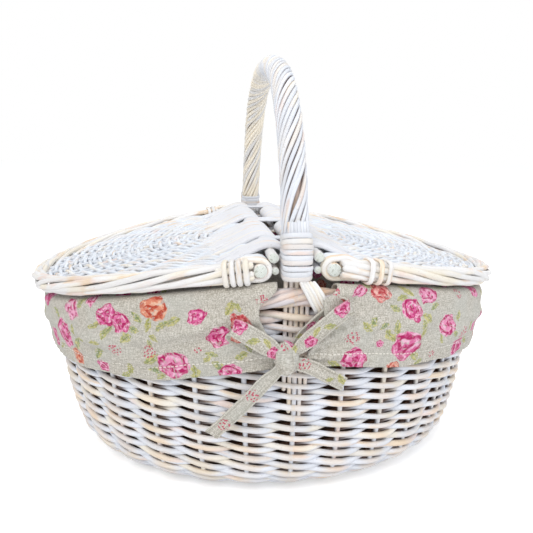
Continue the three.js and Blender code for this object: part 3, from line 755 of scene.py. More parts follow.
def weaver(rods, s, first, last, phase, closed):
    """One of the two rods of a row of pairing, from one stake number to another."""
    rng = rods.rng
    u = np.linspace(first, last, int(round((last - first) * ROW_SAMPLES)), endpoint=not closed)
    angle = STAKE_ANGLE(u)
    turn = math.pi * u + phase
    lift, deep, thick = Wobble(rng, 6.0, 0.35), Wobble(rng, 3.0, 0.25), Wobble(rng, 9.0, 0.16)
    if closed:
        lift = deep = lambda x: 0.3 * np.sin(TAU * x / STAKES * 3 + phase)
        slow, quick = rng.uniform(0, TAU, 2)
        around = TAU * u / STAKES
        taper = 1 + 0.1 * np.sin(around + slow) + 0.05 * np.sin(5 * around + quick)
    else:
        taper = 1 + thick(u)
    # a rod runs nearly straight from the front of one stake to the back of the next
    swing = np.cos(turn) * (1.18 - 0.18 * np.cos(turn) ** 2)
    rise = -np.sign(np.sin(turn)) * np.abs(np.sin(turn)) ** 1.25 * ROD * 0.95
    swing = swing * WEAVE_RADIAL * lerp(0.55, 1.0, smoothstep(0.3, 1.4, s / EDGE_LENGTH))
    centre, normal = on_wall(s + rise + lift(u), angle, WEAVE_DEPTH - swing - 0.15 * deep(u))
    middle, _ = on_wall(s + rise, angle, WEAVE_DEPTH)
    radius = ROD * taper * rng.uniform(0.95, 1.05)
    warm = 0.45 * smoothstep(0.3, 1.0, np.cos(turn))
    # the back of the rod, deep in the weave, is raw wood painted dark brown as painted shade in the gaps
    rods.add(centre, radius, normal, closed=closed, bare=bare_and_shaded_behind(middle, normal, 1.4, -1.8), warm=warm)


def row(rods, s):
    """A row of pairing at profile length s: all the way round, or only where the wall is tall enough."""
    z = np.interp(s, PROFILE[0], PROFILE[2])
    index = np.linspace(0, STAKES, 721)
    room = wall_top(STAKE_ANGLE(index)) + RIM_OVERLAP - z
    quarter = len(index) // 4 + 1
    if room.min() > ROW_ROOM - 0.5:
        spans = [(0, STAKES)]
    elif room[0] > ROW_ROOM:
        half = np.interp(0, ROW_ROOM - room[:quarter], index[:quarter])
        spans = [(middle - half, middle + half) for middle in (0, STAKES / 2) if half > 1]
    else:
        spans = []
    for first, last in spans:
        for phase in (0, math.pi):
            weaver(rods, s, first, last, phase, closed=last - first == STAKES)


def stakes(rods, s_from, s_to):
    for i in range(STAKES):
        angle = STAKE_ANGLE(i)
        s = np.linspace(s_from, min(s_to, profile_length(wall_top(angle) - 1.5)), 12)
        centre, normal = on_wall(s, angle, WEAVE_DEPTH)
        if s[-1] > s[0] + 1:
            # the stake's sides and back are raw wood painted dark brown as painted shade in the gaps beside
            # it
            rods.add(centre, STAKE, normal, bare=bare_and_shaded_behind(centre, normal, 0.9, -0.6))


def woven_wall():
    first = WEAVE_PITCH / 2 + 0.4
    last = profile_length(RIM_TOP_Z - RIM_HEIGHT + 1.0)
    edge, side = Rods(11), Rods(12)
    for s in np.linspace(first, last, int(round((last - first) / WEAVE_PITCH)) + 1):
        row(edge if s < EDGE_LENGTH else side, s)
    stakes(edge, 1.0, EDGE_LENGTH)
    stakes(side, EDGE_LENGTH, PROFILE[0][-1])
    edge.piece("woven_bottom_edge", WALL_WILLOW, "basket", "white_willow", "base_edge_wale")
    side.piece("woven_side", WALL_WILLOW, "basket", "white_willow", "side_weave")


def woven_base():
    """Oval base: a cross of sticks with rows of randing round it."""
    rods = Rods(13)
    middle_z = BASE_THICKNESS / 2
    angles = STAKE_ANGLE(np.arange(BASE_SPOKES) / BASE_SPOKES * STAKES)
    share = np.linspace(0.10, 1, 10)[:, None]
    for angle in angles:
        spoke = on_oval(BASE_HALF_DEPTH + 2, angle, middle_z) * [1, 1, 0] * share + [0, 0, middle_z]
        rods.add(spoke, 1.9, DOWN, bare=0.35)
    length = STRETCH_AT_BASE + 18
    for k in range(7):
        rods.add(xyz(np.linspace(-length, length, 12), (k - 3) * 4.2, middle_z), 2.0, DOWN, bare=0.3)
    u = np.linspace(0, BASE_SPOKES, BASE_SPOKES * 10, endpoint=False)
    angle = np.interp(u, np.arange(BASE_SPOKES + 1), np.append(np.unwrap(angles), angles[0] + TAU))
    for k in range(int((BASE_HALF_DEPTH - 19) / BASE_ROW_PITCH)):
        r = BASE_HALF_DEPTH - 1.2 - k * BASE_ROW_PITCH
        x = (r + STRETCH_AT_BASE * r / BASE_HALF_DEPTH) * np.cos(angle)
        path = xyz(x, r * np.sin(angle), middle_z + 1.9 * np.cos(math.pi * u + math.pi * k))
        rods.add(path, BASE_ROW_RADIUS, DOWN, closed=True, bare=0.12)
    rods.piece("woven_base", WALL_WILLOW, "basket", "white_willow", "base_weave")


def rope(rods, centre, out, up, width, height, count, radius, turns, sides, closed=False, slack=0.0):
    """Rods laid round each other along a centre path, inside an oval of the given width and height.
    slack lets each rod leave the surface and drift along it."""
    length = arc_length(centre)
    share = length / length[-1] * (1 - 1 / len(centre) if closed else 1.0)
    for i in range(count):
        loose = Wobble(rods.rng, 0.22, 0.16 + 0.22 * slack)
        sink = Wobble(rods.rng, 0.16, slack)
        turn = TAU * (i / count + turns * share)
        if not closed:
            turn = turn + loose(share)
        c, s = np.cos(turn)[:, None], np.sin(turn)[:, None]
        inward = radius + np.abs(sink(share))[:, None]
        offset = out * ((width / 2 - inward) * c) + up * ((height / 2 - inward) * s)
        taper = radius * (1 + 0.06 * np.sin(TAU * share * 3 + i * 2.1))
        rods.add(centre + offset, taper, out * c + up * s, sides=sides, closed=closed)


def rope_rim():
    rods = Rods(14)
    angle = np.linspace(-QUARTER, 3 * QUARTER, 420, endpoint=False)
    place = (RIM_HALF_DEPTH - RIM_WIDTH / 2, angle, rim_top(angle) - RIM_HEIGHT / 2)
    out = oval_outward(*place)
    rope(rods, on_oval(*place), out, UP, RIM_WIDTH, RIM_HEIGHT, 7, 2.45, 9, sides=8, closed=True)
    rods.piece("rope_rim", PINK_WILLOW, "basket", "cream_willow", "rim_border")


# ---------------------------------------------------------------- handle
HALF_ARCH = [
    (152, 65), (155.6, 150), (158, 182), (159, 198), (157, 214),
    (151, 232), (139.5, 262), (117, 300), (87, 327), (45, 343.5),
]
APEX_Z = 348
CORE_RADIUS = 4.5
CORE_UNDER_WINDING = 7.0
WINDING_RADIUS = 10.4
WINDING_RODS = 14
WINDING_ROD = 1.82
BINDING_BOTTOM_Z, BINDING_TOP_Z = 185.5, 215.5
BINDING_TURNS = 9
SPLINT_FEET_Z = (98, 79, 96, 71, 102)
ENDS = ("front", "rear")

FRONT_HALF = [(0, -y, z) for y, z in HALF_ARCH]
REAR_HALF = [(0, y, z) for y, z in HALF_ARCH[::-1]]
HANDLE = spline(FRONT_HALF + [(0, 0, APEX_Z)] + REAR_HALF, 600)
HANDLE_S = arc_length(HANDLE)


def handle_length_at(z):
    """Length along the handle, from its front foot, where the front leg reaches height z."""
    half = len(HANDLE) // 2
    return np.interp(z, HANDLE[:half, 2], HANDLE_S[:half])


def on_handle(s):
    return np.stack([np.interp(s, HANDLE_S, column) for column in HANDLE.T], -1)


def beside_handle(s, r, turn):
    """Point at distance r from the handle's middle, turned from the outside towards +X, and its direction."""
    s, r, turn = np.broadcast_arrays(s, r, turn)
    along = unit(on_handle(s + 1) - on_handle(s - 1))
    direction = xyz(0, -along[..., 2], along[..., 1]) * np.cos(turn)[..., None]
    direction[..., 0] += np.sin(turn)
    return on_handle(s) + direction * r[..., None], direction


WINDING_START = handle_length_at(BINDING_BOTTOM_Z)
WINDING_END = HANDLE_S[-1] - WINDING_START


def handle_winding():
    rods = Rods(21)
    s = np.linspace(WINDING_START, WINDING_END, 210)
    share = (s - WINDING_START) / (WINDING_END - WINDING_START)
    # rods lie steeper along the legs than over the top
    lean = lerp(0.040, 0.070, np.sin(math.pi * share) ** 2)
    wind = np.concatenate([[0], np.cumsum((lean[1:] + lean[:-1]) / 2 * np.diff(s))])
    # a gap opens low on the front leg, where the core shows
    gap_at = WINDING_START + 58
    gap_turn = 0.12 - np.interp(gap_at, s, wind)
    first_turn = gap_turn + TAU / WINDING_RODS / 2
    rear_half = smoothstep(0.42, 0.58, share)
    for i in range(WINDING_RODS):
        loose = Wobble(rods.rng, 90, 0.060)
        base_turn = first_turn + TAU * i / WINDING_RODS
        near = (base_turn - gap_turn + math.pi) % TAU - math.pi
        parted = 0.19 * hump(s, gap_at, 17) * math.copysign(math.exp(-abs(near) / 0.6), near)
        turn = base_turn + wind + loose(s) + parted
        reach = WINDING_RADIUS - WINDING_ROD + Wobble(rods.rng, 60, 0.25)(s)
        path, facing = beside_handle(s, reach, turn)
        taper = WINDING_ROD * (1 + Wobble(rods.rng, 120, 0.07)(s))
        middle = on_handle(s)[:, None]

        # the flanks in the grooves between rods are raw wood painted brown as painted shade, less on the rear
        # half
        def bareness_and_shade(rings):
            depth = smoothstep(9.65, 8.5, np.linalg.norm(rings - middle, axis=-1))
            return depth * lerp(0.72, 0.22, rear_half)[:, None]

        # the rear half is tinted light cream: painted warm light on the far leg
        rods.add(path, taper, facing, bare=bareness_and_shade, warm=0.92 * rear_half)
    rods.piece("handle_winding", HANDLE_WILLOW, "basket", "white_willow", "handle_roping")


def handle_core():
    rods = Rods(22)
    s = np.linspace(2, HANDLE_S[-1] - 2, 160)
    inside = (s > WINDING_START - 4) & (s < WINDING_END + 4)
    thickness = np.where(inside, CORE_UNDER_WINDING, CORE_RADIUS)
    thickness = np.convolve(np.pad(thickness, 2, mode="edge"), np.ones(5) / 5, "valid")
    path, facing = beside_handle(s, 0, 0)
    rods.add(path, thickness, facing, sides=14, bare=0.15)
    rods.piece("handle_core_rod", CORE_WILLOW, "basket", "brown_willow", "handle_core")


def handle_splints():
    """Splints beside the core, that run down through the weave under each binding."""
    rods = Rods(23)
    for side in (-1, 1):
        for k, foot in enumerate(SPLINT_FEET_Z):
            z = np.linspace(foot, BINDING_BOTTOM_Z + 6, 14)
            y = side * (wall_half_depth(z) - WEAVE_DEPTH + 1.0)
            rods.add(xyz((k - 2) * 4.1, y, z), 1.6, (0, side, 0), warm=0.6)
    rods.piece("handle_splints", WALL_WILLOW, "basket", "white_willow", "handle_core")


def binding_outline(turn, shrink):
    """Rounded box round the handle leg, as (across, outward) offsets, for a turn from 0 to 2 pi."""
    width, outside, inside, corner = 12.25 - shrink, 16.6 - shrink, 12.3 - shrink, 8.5 - shrink
    c, s = np.cos(turn), np.sin(turn)
    across = np.sign(c) * (width - corner) + corner * c
    outward = np.where(s > 0, outside - corner, corner - inside) + corner * s
    return across, outward


def leg_wrap(prefix, rear):
    rods = Rods(31 + rear)
    low, high = handle_length_at(BINDING_BOTTOM_Z + 1.7), handle_length_at(BINDING_TOP_Z - 1.7)
    if rear:
        low, high = HANDLE_S[-1] - low, HANDLE_S[-1] - high
    half = abs(high - low) / (BINDING_TURNS - 1) / 2
    t = np.linspace(0, TAU, 72, endpoint=False)
    across, outward = binding_outline(t, half + 0.1)
    for k in range(BINDING_TURNS):
        tilt = 0.5 * np.sin(t + rods.rng.uniform(-0.6, 0.6)) + rods.rng.uniform(-0.2, 0.2)
        s = lerp(low, high, k / (BINDING_TURNS - 1)) + tilt
        path, facing = beside_handle(s, np.hypot(across, outward), np.arctan2(across, outward))
        path = path + facing * (0.25 * np.sin(3 * t + rods.rng.uniform(0, TAU)) + 0.1)[:, None]
        wide = half * rods.rng.uniform(1.08, 1.16)
        rods.add(path, wide, facing, closed=True, flat=0.34, warm=0.3 * (k % 3 == 0))
    rods.piece(f"{prefix}_leg_wrap", WHITE_WILLOW, "basket", "white_willow", f"{prefix}_handle_binding")


def splint_ends(prefix, rear):
    rods = Rods(33 + rear)
    for k in range(7):
        top = handle_length_at(BINDING_TOP_Z + 7.4 + rods.rng.uniform(-1.2, 0.8))
        s = np.linspace(WINDING_START, top, 10)
        path, facing = beside_handle(HANDLE_S[-1] - s if rear else s, 12.45, (k - 3) * 0.185)
        rods.add(path, 1.34, facing, cut=(False, True))
    rods.piece(f"{prefix}_splint_ends", WHITE_WILLOW, "basket", "white_willow", f"{prefix}_leg_splints")


def rim_ties(prefix, rear):
    """Rods that slant from the foot of the binding over the rim, and spread a little on their way."""
    rods = Rods(35 + rear)
    side = -1 if rear else 1
    x = np.array([6.2, 8.0, 10.8, 14.0, 17.6, 19.4])
    y = np.array([172.6, 175.3, 176.6, 176.9, 176.0, 173.6])
    z = np.array([183.5, 180.5, 176, 170, 164, 160.5])
    spread = np.array([0.85, 0.95, 1, 1.02, 1.05, 1.05])
    for k in range(5):
        path = xyz(side * (x + (k - 2) * 2.75 * spread), -side * y, z)
        rods.add(spline(path, 16), 1.42, (0, -side, 0), tone=0.3 + 0.1 * k)
    rods.piece(f"{prefix}_rim_ties", CREAM_WILLOW, "basket", "cream_willow", f"{prefix}_rim_lashing")


def handle():
    handle_winding()
    handle_core()
    handle_splints()
    for rear, prefix in enumerate(ENDS):
        leg_wrap(prefix, rear)
        splint_ends(prefix, rear)
        rim_ties(prefix, rear)


# ---------------------------------------------------------------- hinge line
def rod_along_y(node):
    """x, z and radius of a CAD rod that runs front to back."""
    low, high = node_box(node)
    return (low[0] + high[0]) / 2, (low[2] + high[2]) / 2, (high[2] - low[2]) / 2


RAIL_X, RAIL_Z, RAIL_RADIUS = rod_along_y("right_hinge_rail")
ROD_X, ROD_Z, ROD_RADIUS = rod_along_y("right_lid_rod")
ROD_END_Y = node_box("right_lid_rod")[1][1]
LOOP_PLACES = ("front", "middle_front", "middle_rear", "rear")
LOOP_ROUND_ROD = 8.5
LOOP_ROUND_RAIL = (14.0, 7.5)
WRAP = 1.72  # radius of the weavers used in the lids
WRAP_PITCH = 3.75


def straight_rod(rods, x, z, y_from, y_to, radius):
    y = np.linspace(y_from, y_to, 40)
    wander = Wobble(rods.rng, 130, 0.22)
    path = xyz(x + wander(y), y, z + wander(y + 500))
    rods.add(path, radius * (1 + Wobble(rods.rng, 90, 0.02)(y)), UP, sides=16, cut=(True, True))


def rail(name, side):
    rods = Rods(41 + side)
    low, high = node_box(f"{name}_hinge_rail")
    straight_rod(rods, side * RAIL_X, RAIL_Z, low[1] + 0.6, high[1] - 0.6, RAIL_RADIUS)
    rods.piece(f"{name}_rail", CREAM_WILLOW, "basket", "cream_willow", f"{name}_hinge_rail")
    for end in ENDS:
        node = f"{end}_{name}_rail_support"
        low, high = node_box(node)
        x, _, z = (low + high) / 2
        stub = Rods(45 + side)
        straight_rod(stub, x, z, low[1] + 0.4, high[1] - 0.4, (high[0] - low[0]) / 2 - 0.1)
        stub.piece(f"{end}_{name}_rail_rest", WHITE_WILLOW, "basket", "cream_willow", node)


def rail_ties(place):
    """Turns round both rails."""
    node = f"{place}_rail_lashing"
    low, high = node_box(node)
    rods = Rods(47 + len(place))
    turns = int(round((high[1] - low[1]) / 2.5))
    half = (high[1] - low[1]) / turns / 2
    reach = (high[2] - low[2]) / 2 - 1.1
    c, s = (wave(np.linspace(0, TAU, 44, endpoint=False)) for wave in (np.cos, np.sin))
    for k in range(turns):
        y = low[1] + half * (2 * k + 1)
        path = resample_loop(xyz(np.sign(c) * RAIL_X + reach * c, y + 0.3 * s, RAIL_Z + reach * s), 56)
        facing = unit(path - [0, y, RAIL_Z]) * [0.25, 0, 1]
        rods.add(path, half * 0.98, unit(facing + [0, 0, 1e-3]), closed=True, flat=0.9)
    rods.piece(f"{place}_rail_ties", WHITE_WILLOW, "basket", "white_willow", node)


def rails():
    for name, side in SIDES:
        rail(name, side)
    for place in ("front", "middle", "rear"):
        rail_ties(place)


# ---------------------------------------------------------------- lids
LID_UNDERSIDE_Z = 185.7
PANEL_INSET = LID_BORDER_WIDTH + 0.6
BORDER_INSET = LID_BORDER_WIDTH / 2
RIBS = 17
RIB_RADIUS = 2.0
LOOP_SPANS = [[corner[1] for corner in node_box(f"right_hinge_loop_{place}")] for place in LOOP_PLACES]


def lid_underside(x):
    return LID_UNDERSIDE_Z - roof_drop(x / LID_HALF_LENGTH)


def lid_middle(x):
    return lid_underside(x) + LID_BORDER_HEIGHT / 2


def lid_oval(inset, turn):
    return (LID_HALF_LENGTH - inset) * np.cos(turn), (LID_HALF_DEPTH - inset) * np.sin(turn)


def turn_at(x, inset):
    """Turn at which the lid's oval reaches x."""
    return math.acos(x / (LID_HALF_LENGTH - inset))


def panel_point(share, turn):
    """Plan position on the panel: share 0 is the middle of the hinge rod, 1 the inner edge of the border."""
    x, y = lid_oval(PANEL_INSET, turn)
    return ROD_X + share * (x - ROD_X), share * y


def pulled_round(turn, rod_reach, rail_wide, rail_tall):
    """Outline of a band pulled round the lid rod and the rail, for the right lid: x, z for each direction."""
    c, s = np.cos(turn), np.sin(turn)
    reach = np.hypot(rail_wide * c, rail_tall * s)
    on_rod = ROD_X * c + ROD_Z * s + rod_reach > RAIL_X * c + RAIL_Z * s + reach
    x = np.where(on_rod, ROD_X + rod_reach * c, RAIL_X + rail_wide**2 * c / reach)
    z = np.where(on_rod, ROD_Z + rod_reach * s, RAIL_Z + rail_tall**2 * s / reach)
    return x, z


def round_rod(reach, first, last, count):
    """Arc round the hinge rod from one angle in degrees to another: x, z."""
    turn = np.radians(np.linspace(first, last, count))
    return ROD_X + reach * np.cos(turn), ROD_Z + reach * np.sin(turn)


def joined(head, arc, tail):
    """x, z through the points of head, along an arc, and through the points of tail."""
    return (np.concatenate([[p[k] for p in head], arc[k], [p[k] for p in tail]]) for k in (0, 1))


def away_from(path, x, z):
    return unit((path - [x, 0, z]) * [1, 0, 1] + 1e-4)


def mirrored(rods, path, radius, facing, side, **look):
    """Adds a rod that is laid out on the right lid, to the lid on the given side."""
    rods.add(path * [side, 1, 1], radius, facing * [side, 1, 1], **look)


def hinge_turns(name, side, place, low, high):
    """Turns that leave the panel, pass over the rail, and come back under the rod into the panel."""
    rods = Rods(61 + LOOP_PLACES.index(place) + 10 * side)
    turns = int((high - low) / WRAP_PITCH)
    pitch = (high - low) / turns
    wide, tall = LOOP_ROUND_RAIL
    middle = [(ROD_X + RAIL_X) / 2, 0, (ROD_Z + RAIL_Z) / 2]
    direction = np.linspace(math.radians(62), math.radians(292), 40)
    tail = [(36.5, ROD_Z - 6.3), (43.0, lid_middle(43.0) - 3.6), (50.0, lid_middle(50.0) + 0.5)]
    for k in range(turns):
        # the turns at both ends of a group sit a little closer to the rods
        tight = 1.3 * math.exp(-k / 0.9) + 1.3 * math.exp(-(turns - 1 - k) / 0.9)
        arc = pulled_round(direction, LOOP_ROUND_ROD - WRAP, wide - WRAP - tight, tall - WRAP)
        start = rods.rng.uniform(51, 67)
        bend = lerp(37, start, 0.55)
        head = [(start, lid_middle(start) - 0.8), (bend, lid_middle(bend) + 3.3), (37.0, ROD_Z + 6.9)]
        x, z = joined(head, arc, tail)
        y = low + pitch * (k + 0.5) + np.linspace(-0.5, 0.5, len(x)) * pitch * 0.8
        path = smoothed(resample(xyz(x, y, z), 52), 3)
        path[:, 1] += Wobble(rods.rng, 40, 0.18)(arc_length(path))
        facing = unit((path - middle) * [1, 0, 1])
        mirrored(rods, path, WRAP * pitch / WRAP_PITCH * 1.16, facing, side, tone=0.5)
    node = f"{name}_hinge_loop_{place}"
    rods.piece(f"{name}_hinge_turns_{place}", LOOP_WILLOW, f"{name}_lid", "white_willow", node)


def rod_wraps(rods, side):
    """Turns that fill the hinge rod between the hinge loops."""
    ends = np.array([20 - LID_HALF_DEPTH, *np.ravel(LOOP_SPANS), LID_HALF_DEPTH - 20]).reshape(-1, 2)
    head = [(52, lid_middle(52.0) + 0.6), (43, lid_middle(43.0) + 2.6), (35.5, ROD_Z + 6.2)]
    tail = [(35.5, ROD_Z - 5.6), (43, lid_middle(43.0) - 3.2)]
    x, z = joined(head, round_rod(ROD_RADIUS + WRAP + 0.1, 70, 290, 26), tail)
    slant = np.linspace(-0.5, 0.5, 44) * WRAP_PITCH * 0.5
    for start, end in ends:
        count = int(round((end - start) / WRAP_PITCH))
        for k in range(count):
            path = smoothed(resample(xyz(x, start + (end - start) * (k + 0.5) / count, z), 44), 2)
            path[:, 1] += slant
            mirrored(rods, path, WRAP * 1.08, away_from(path, ROD_X + 4, ROD_Z), side, tone=0.5)


def weaver_end(y, from_below):
    """The end of a weaver: round the rod from above or from below, or tucked under a hinge loop."""
    if any(low - 1.0 < y < high + 1.0 for low, high in LOOP_SPANS):
        x = np.array([34.5, 37.0])
        return xyz(x, y, lid_middle(x) + 0.2)
    first, last = (75, 290) if from_below else (-75, -290)
    x, z = round_rod(ROD_RADIUS + WRAP + 0.15, first, last, 22)
    return xyz(x, y, z)


def lid_weaver(rods, side, k, count, rib_turns, limit):
    """One half round of randing, between the ribs that reach this far in."""
    share = (k + 0.75) / count
    if share < 0.27:
        active = rib_turns[2::4]
    elif share < 0.52:
        active = rib_turns[::2]
    else:
        active = rib_turns
    knots = np.concatenate([[-limit], active, [limit]])
    turn = np.linspace(-limit, limit, max(24, int(share * 260)))
    number = np.interp(turn, knots, np.arange(len(knots)))
    x, y = panel_point(share, turn)
    over = np.cos(math.pi * number + math.pi * k)
    fade = smoothstep(0, 0.35, np.minimum(number, len(knots) - 1 - number))
    amplitude = 1.7 * fade * (1 if share > 0.1 else 0.5)
    along = share * turn * 180
    z = lid_middle(x) + over * amplitude + Wobble(rods.rng, 60, 0.22)(along)
    y = y + Wobble(rods.rng, 80, 0.25)(along)
    keep = x > ROD_X + 12.5
    if keep.sum() < 6:
        keep = x > ROD_X + 8
    end_y = share * (LID_HALF_DEPTH - PANEL_INSET) * math.sin(limit)
    ends = weaver_end(-end_y, k % 2 == 1), weaver_end(end_y, k % 2 == 0)[::-1]
    path = np.vstack([ends[0], xyz(x, y, z)[keep], ends[1]])
    path = smoothed(resample(path, int(arc_length(path)[-1] / 1.9)), 1)
    crest = smoothstep(0.9, 1.9, path[:, 2] - lid_middle(path[:, 0]))
    radial = unit((path - [ROD_X, 0, ROD_Z]) * [1, 0, 1])
    weight = smoothstep(16.0, 9.0, np.hypot(path[:, 0] - ROD_X, path[:, 2] - ROD_Z))[:, None]
    facing = unit(UP * (1 - weight) + radial * weight + 1e-4)
    uneven = Wobble(rods.rng, 150, 0.07)(np.arange(len(path)) * 1.9)
    taper = WRAP * (lerp(1.05, 0.94, smoothstep(0.3, 0.75, share)) + uneven)
    mirrored(rods, path, taper, facing, side, sides=7, warm=0.3 * crest * (1 - weight[:, 0]))


def lid_panel(name, side):
    """Ribs that fan from the middle of the hinge rod, and half rounds of randing that end round the rod."""
    rods = Rods(71 + side)
    limit = turn_at(ROD_X, PANEL_INSET)
    rib_turns = (np.arange(RIBS) + 0.5) / RIBS * 2 * limit - limit
    for j, turn in enumerate(rib_turns):
        start = (0.26, 0.51, 0.06, 0.51)[j % 4]
        x, y = panel_point(np.linspace(start, 1.03, 40), turn)
        rods.add(xyz(side * x, y, lid_middle(x)), RIB_RADIUS, UP, bare=0.1)
    count = int((LID_HALF_DEPTH - PANEL_INSET) / WRAP_PITCH / 1.02)
    for k in range(count):
        lid_weaver(rods, side, k, count, rib_turns, limit)
    rod_wraps(rods, side)
    rods.piece(f"{name}_lid_panel", LID_WILLOW, f"{name}_lid", "white_willow", f"{name}_lid_weave")


def lid_rod(name, side):
    rods = Rods(75 + side)
    low, high = node_box(f"{name}_lid_rod")
    straight_rod(rods, side * ROD_X, ROD_Z, low[1] + 0.6, high[1] - 0.6, ROD_RADIUS)
    rods.piece(f"{name}_hinge_rod", CREAM_WILLOW, f"{name}_lid", "cream_willow", f"{name}_lid_rod")


def border_frame(turn, side):
    """Centre, outward and upward directions along the lid's border."""
    x, y = lid_oval(BORDER_INSET, turn)
    centre = xyz(side * x, y, lid_middle(x))
    along = unit(np.gradient(centre, axis=0))
    out = unit(np.cross(along, UP) * side)
    return centre, out, unit(np.cross(out, along) * side)


def hook(rods, side, y):
    """A rod of the border, bent over the end of the hinge rod and back along the underside."""
    head = [(58, lid_middle(58.0) + 3.5), (46, lid_middle(46.0) + 5.2), (37, ROD_Z + 8.0)]
    tail = [(36, ROD_Z - 7.0), (46, lid_middle(46.0) - 6.5)]
    x, z = joined(head, round_rod(ROD_RADIUS + 2.2, 80, 265, 18), tail)
    path = smoothed(resample(xyz(x, y, z), 44), 3)
    mirrored(rods, path, 2.1, away_from(path, ROD_X + 6, ROD_Z), side, sides=10)


def lid_border(name, side):
    rods = Rods(81 + side)
    limit = turn_at(33.0, BORDER_INSET)
    frame_along = border_frame(np.linspace(-limit, limit, 230), side)
    rope(rods, *frame_along, LID_BORDER_WIDTH, LID_BORDER_HEIGHT, 8, 2.35, -1.6, sides=9, slack=1.1)
    for end in (-1, 1):
        for shift in (0.0, 5.0):
            hook(rods, side, end * (ROD_END_Y - 4.5 - shift))
    rods.piece(f"{name}_lid_rope", CREAM_WILLOW, f"{name}_lid", "cream_willow", f"{name}_lid_border")


def corner_wraps(name, side, end, place):
    """Turns of split willow round the border's corner, that reach into the panel."""
    rods = Rods(91 + side + 3 * end)
    node = f"{name}_lid_binding_{place}"
    x_from, x_to = sorted(abs(corner[0]) for corner in node_box(node))
    turns = 4 if side < 0 else 3
    c, s = (v[:, None] for v in squarish(np.linspace(0, TAU, 48, endpoint=False), 0.62))
    for k in range(turns):
        middle = turn_at(lerp(x_from + 2.2, x_to - 2.2, k / (turns - 1)), BORDER_INSET)
        near = border_frame(np.array([middle - 0.01, middle, middle + 0.01]) * end, side)
        centre, out, up = (column[1] for column in near)
        path = centre + out * (BORDER_INSET + 0.5) * c + up * (LID_BORDER_HEIGHT / 2 + 0.5) * s
        path = resample_loop(path, 52)
        facing = unit(path - centre)
        path[:, 0] += side * rods.rng.uniform(-0.4, 0.4)
        rods.add(path, 2.05 * rods.rng.uniform(0.9, 1.05), facing, closed=True, flat=0.62)
    rods.piece(f"{name}_corner_wraps_{place}", CREAM_WILLOW, f"{name}_lid", "cream_willow", node)


def lids():
    for name, side in SIDES:
        lid_panel(name, side)
        lid_rod(name, side)
        lid_border(name, side)
        for place, (low, high) in zip(LOOP_PLACES, LOOP_SPANS):
            hinge_turns(name, side, place, low, high)
        corner_wraps(name, side, -1, "front")
        corner_wraps(name, side, 1, "rear")


# ---------------------------------------------------------------- liner
CLOTH = 1.4
HEM_END_Z = 100.0
HEM_RISE = 15.0
# |cos(angle)| and how far the hem is raised there above the even hem
LEFT_HEM = ((0, 0.35, 0.55, 0.8, 1), (5.5, 5.5, 3, 0, -1))
RIGHT_HEM = ((0, 0.15, 0.6, 0.75, 0.85, 1), (5.5, 7, 7, 3, -1, -7))
CLOTH_PER_TURN = 190.0  # length along the cloth for one radian round the basket
SKIRT_OVER = 1.3 + CLOTH / 2  # from the rim to the middle of the cloth
# shares of the skirt, from the hem, at which the wall, the rim's side and the rim's top end
WALL_PART, SIDE_PART, TOP_PART = 0.62, 0.78, 0.90
LINING_FLOOR_Z = BASE_THICKNESS + 2.2


def hem_height(angle):
    return HEM_END_Z + HEM_RISE * (1 - np.minimum(1, 1.9 * np.abs(np.cos(angle))))


def waves(rng, count, u_wave, v_wave):
    """Seeded two-way ripples over cloth coordinates: a function of (u, v) from about -1 to 1."""
    ku = TAU / (u_wave * rng.uniform(0.6, 1.7, count))
    kv = TAU / (v_wave * rng.uniform(0.6, 1.7, count)) * rng.choice([-1, 1], count)
    phase = rng.uniform(0, TAU, count)
    size = rng.uniform(0.5, 1.0, count) / math.sqrt(count)
    return lambda u, v: (size * np.sin(u[..., None] * ku + v[..., None] * kv + phase)).sum(-1)


def skirt_section(angle, share, hem, level):
    """Radius and height of the even skirt: up the wall and the rim's side, over its top and down inside."""
    under, top = rim_top(angle) - RIM_HEIGHT, rim_top(angle)
    in_rim = RIM_HALF_DEPTH - RIM_WIDTH - SKIRT_OVER
    out_rim = RIM_HALF_DEPTH + SKIRT_OVER
    s = share[:, None] + 0 * angle
    t_wall = np.clip(s / WALL_PART, 0, 1)
    t_side = np.clip((s - WALL_PART) / (SIDE_PART - WALL_PART), 0, 1)
    t_top = np.clip((s - SIDE_PART) / (TOP_PART - SIDE_PART), 0, 1)
    t_in = np.clip((s - TOP_PART) / (1 - TOP_PART), 0, 1)
    x_here = (RIM_HALF_DEPTH + stretch(top)) * level
    top = top + np.clip(lid_underside(x_here) - top - SKIRT_OVER - 2.2, 0, 4.5)
    z = np.where(s < WALL_PART, lerp(hem, under, t_wall), lerp(under, top - 4.0, t_side))
    z = np.where(s >= SIDE_PART, top - 4.0 + (4.0 + SKIRT_OVER) * np.sin(math.pi * t_top), z)
    z = np.where(s >= TOP_PART, lerp(top - 4.0, under + 2.0, t_in), z)
    bulge = smoothstep(lerp(0.55, 0.82, smoothstep(0.7, 0.95, level)), 1.0, t_wall)
    r = lerp(wall_half_depth(z) + 0.7 + SKIRT_OVER, out_rim, bulge)
    r = np.where(s >= WALL_PART, out_rim, r)
    r = np.where(s >= SIDE_PART, lerp(out_rim, in_rim, (1 - np.cos(math.pi * t_top)) / 2), r)
    return np.where(s >= TOP_PART, in_rim, r), z, s


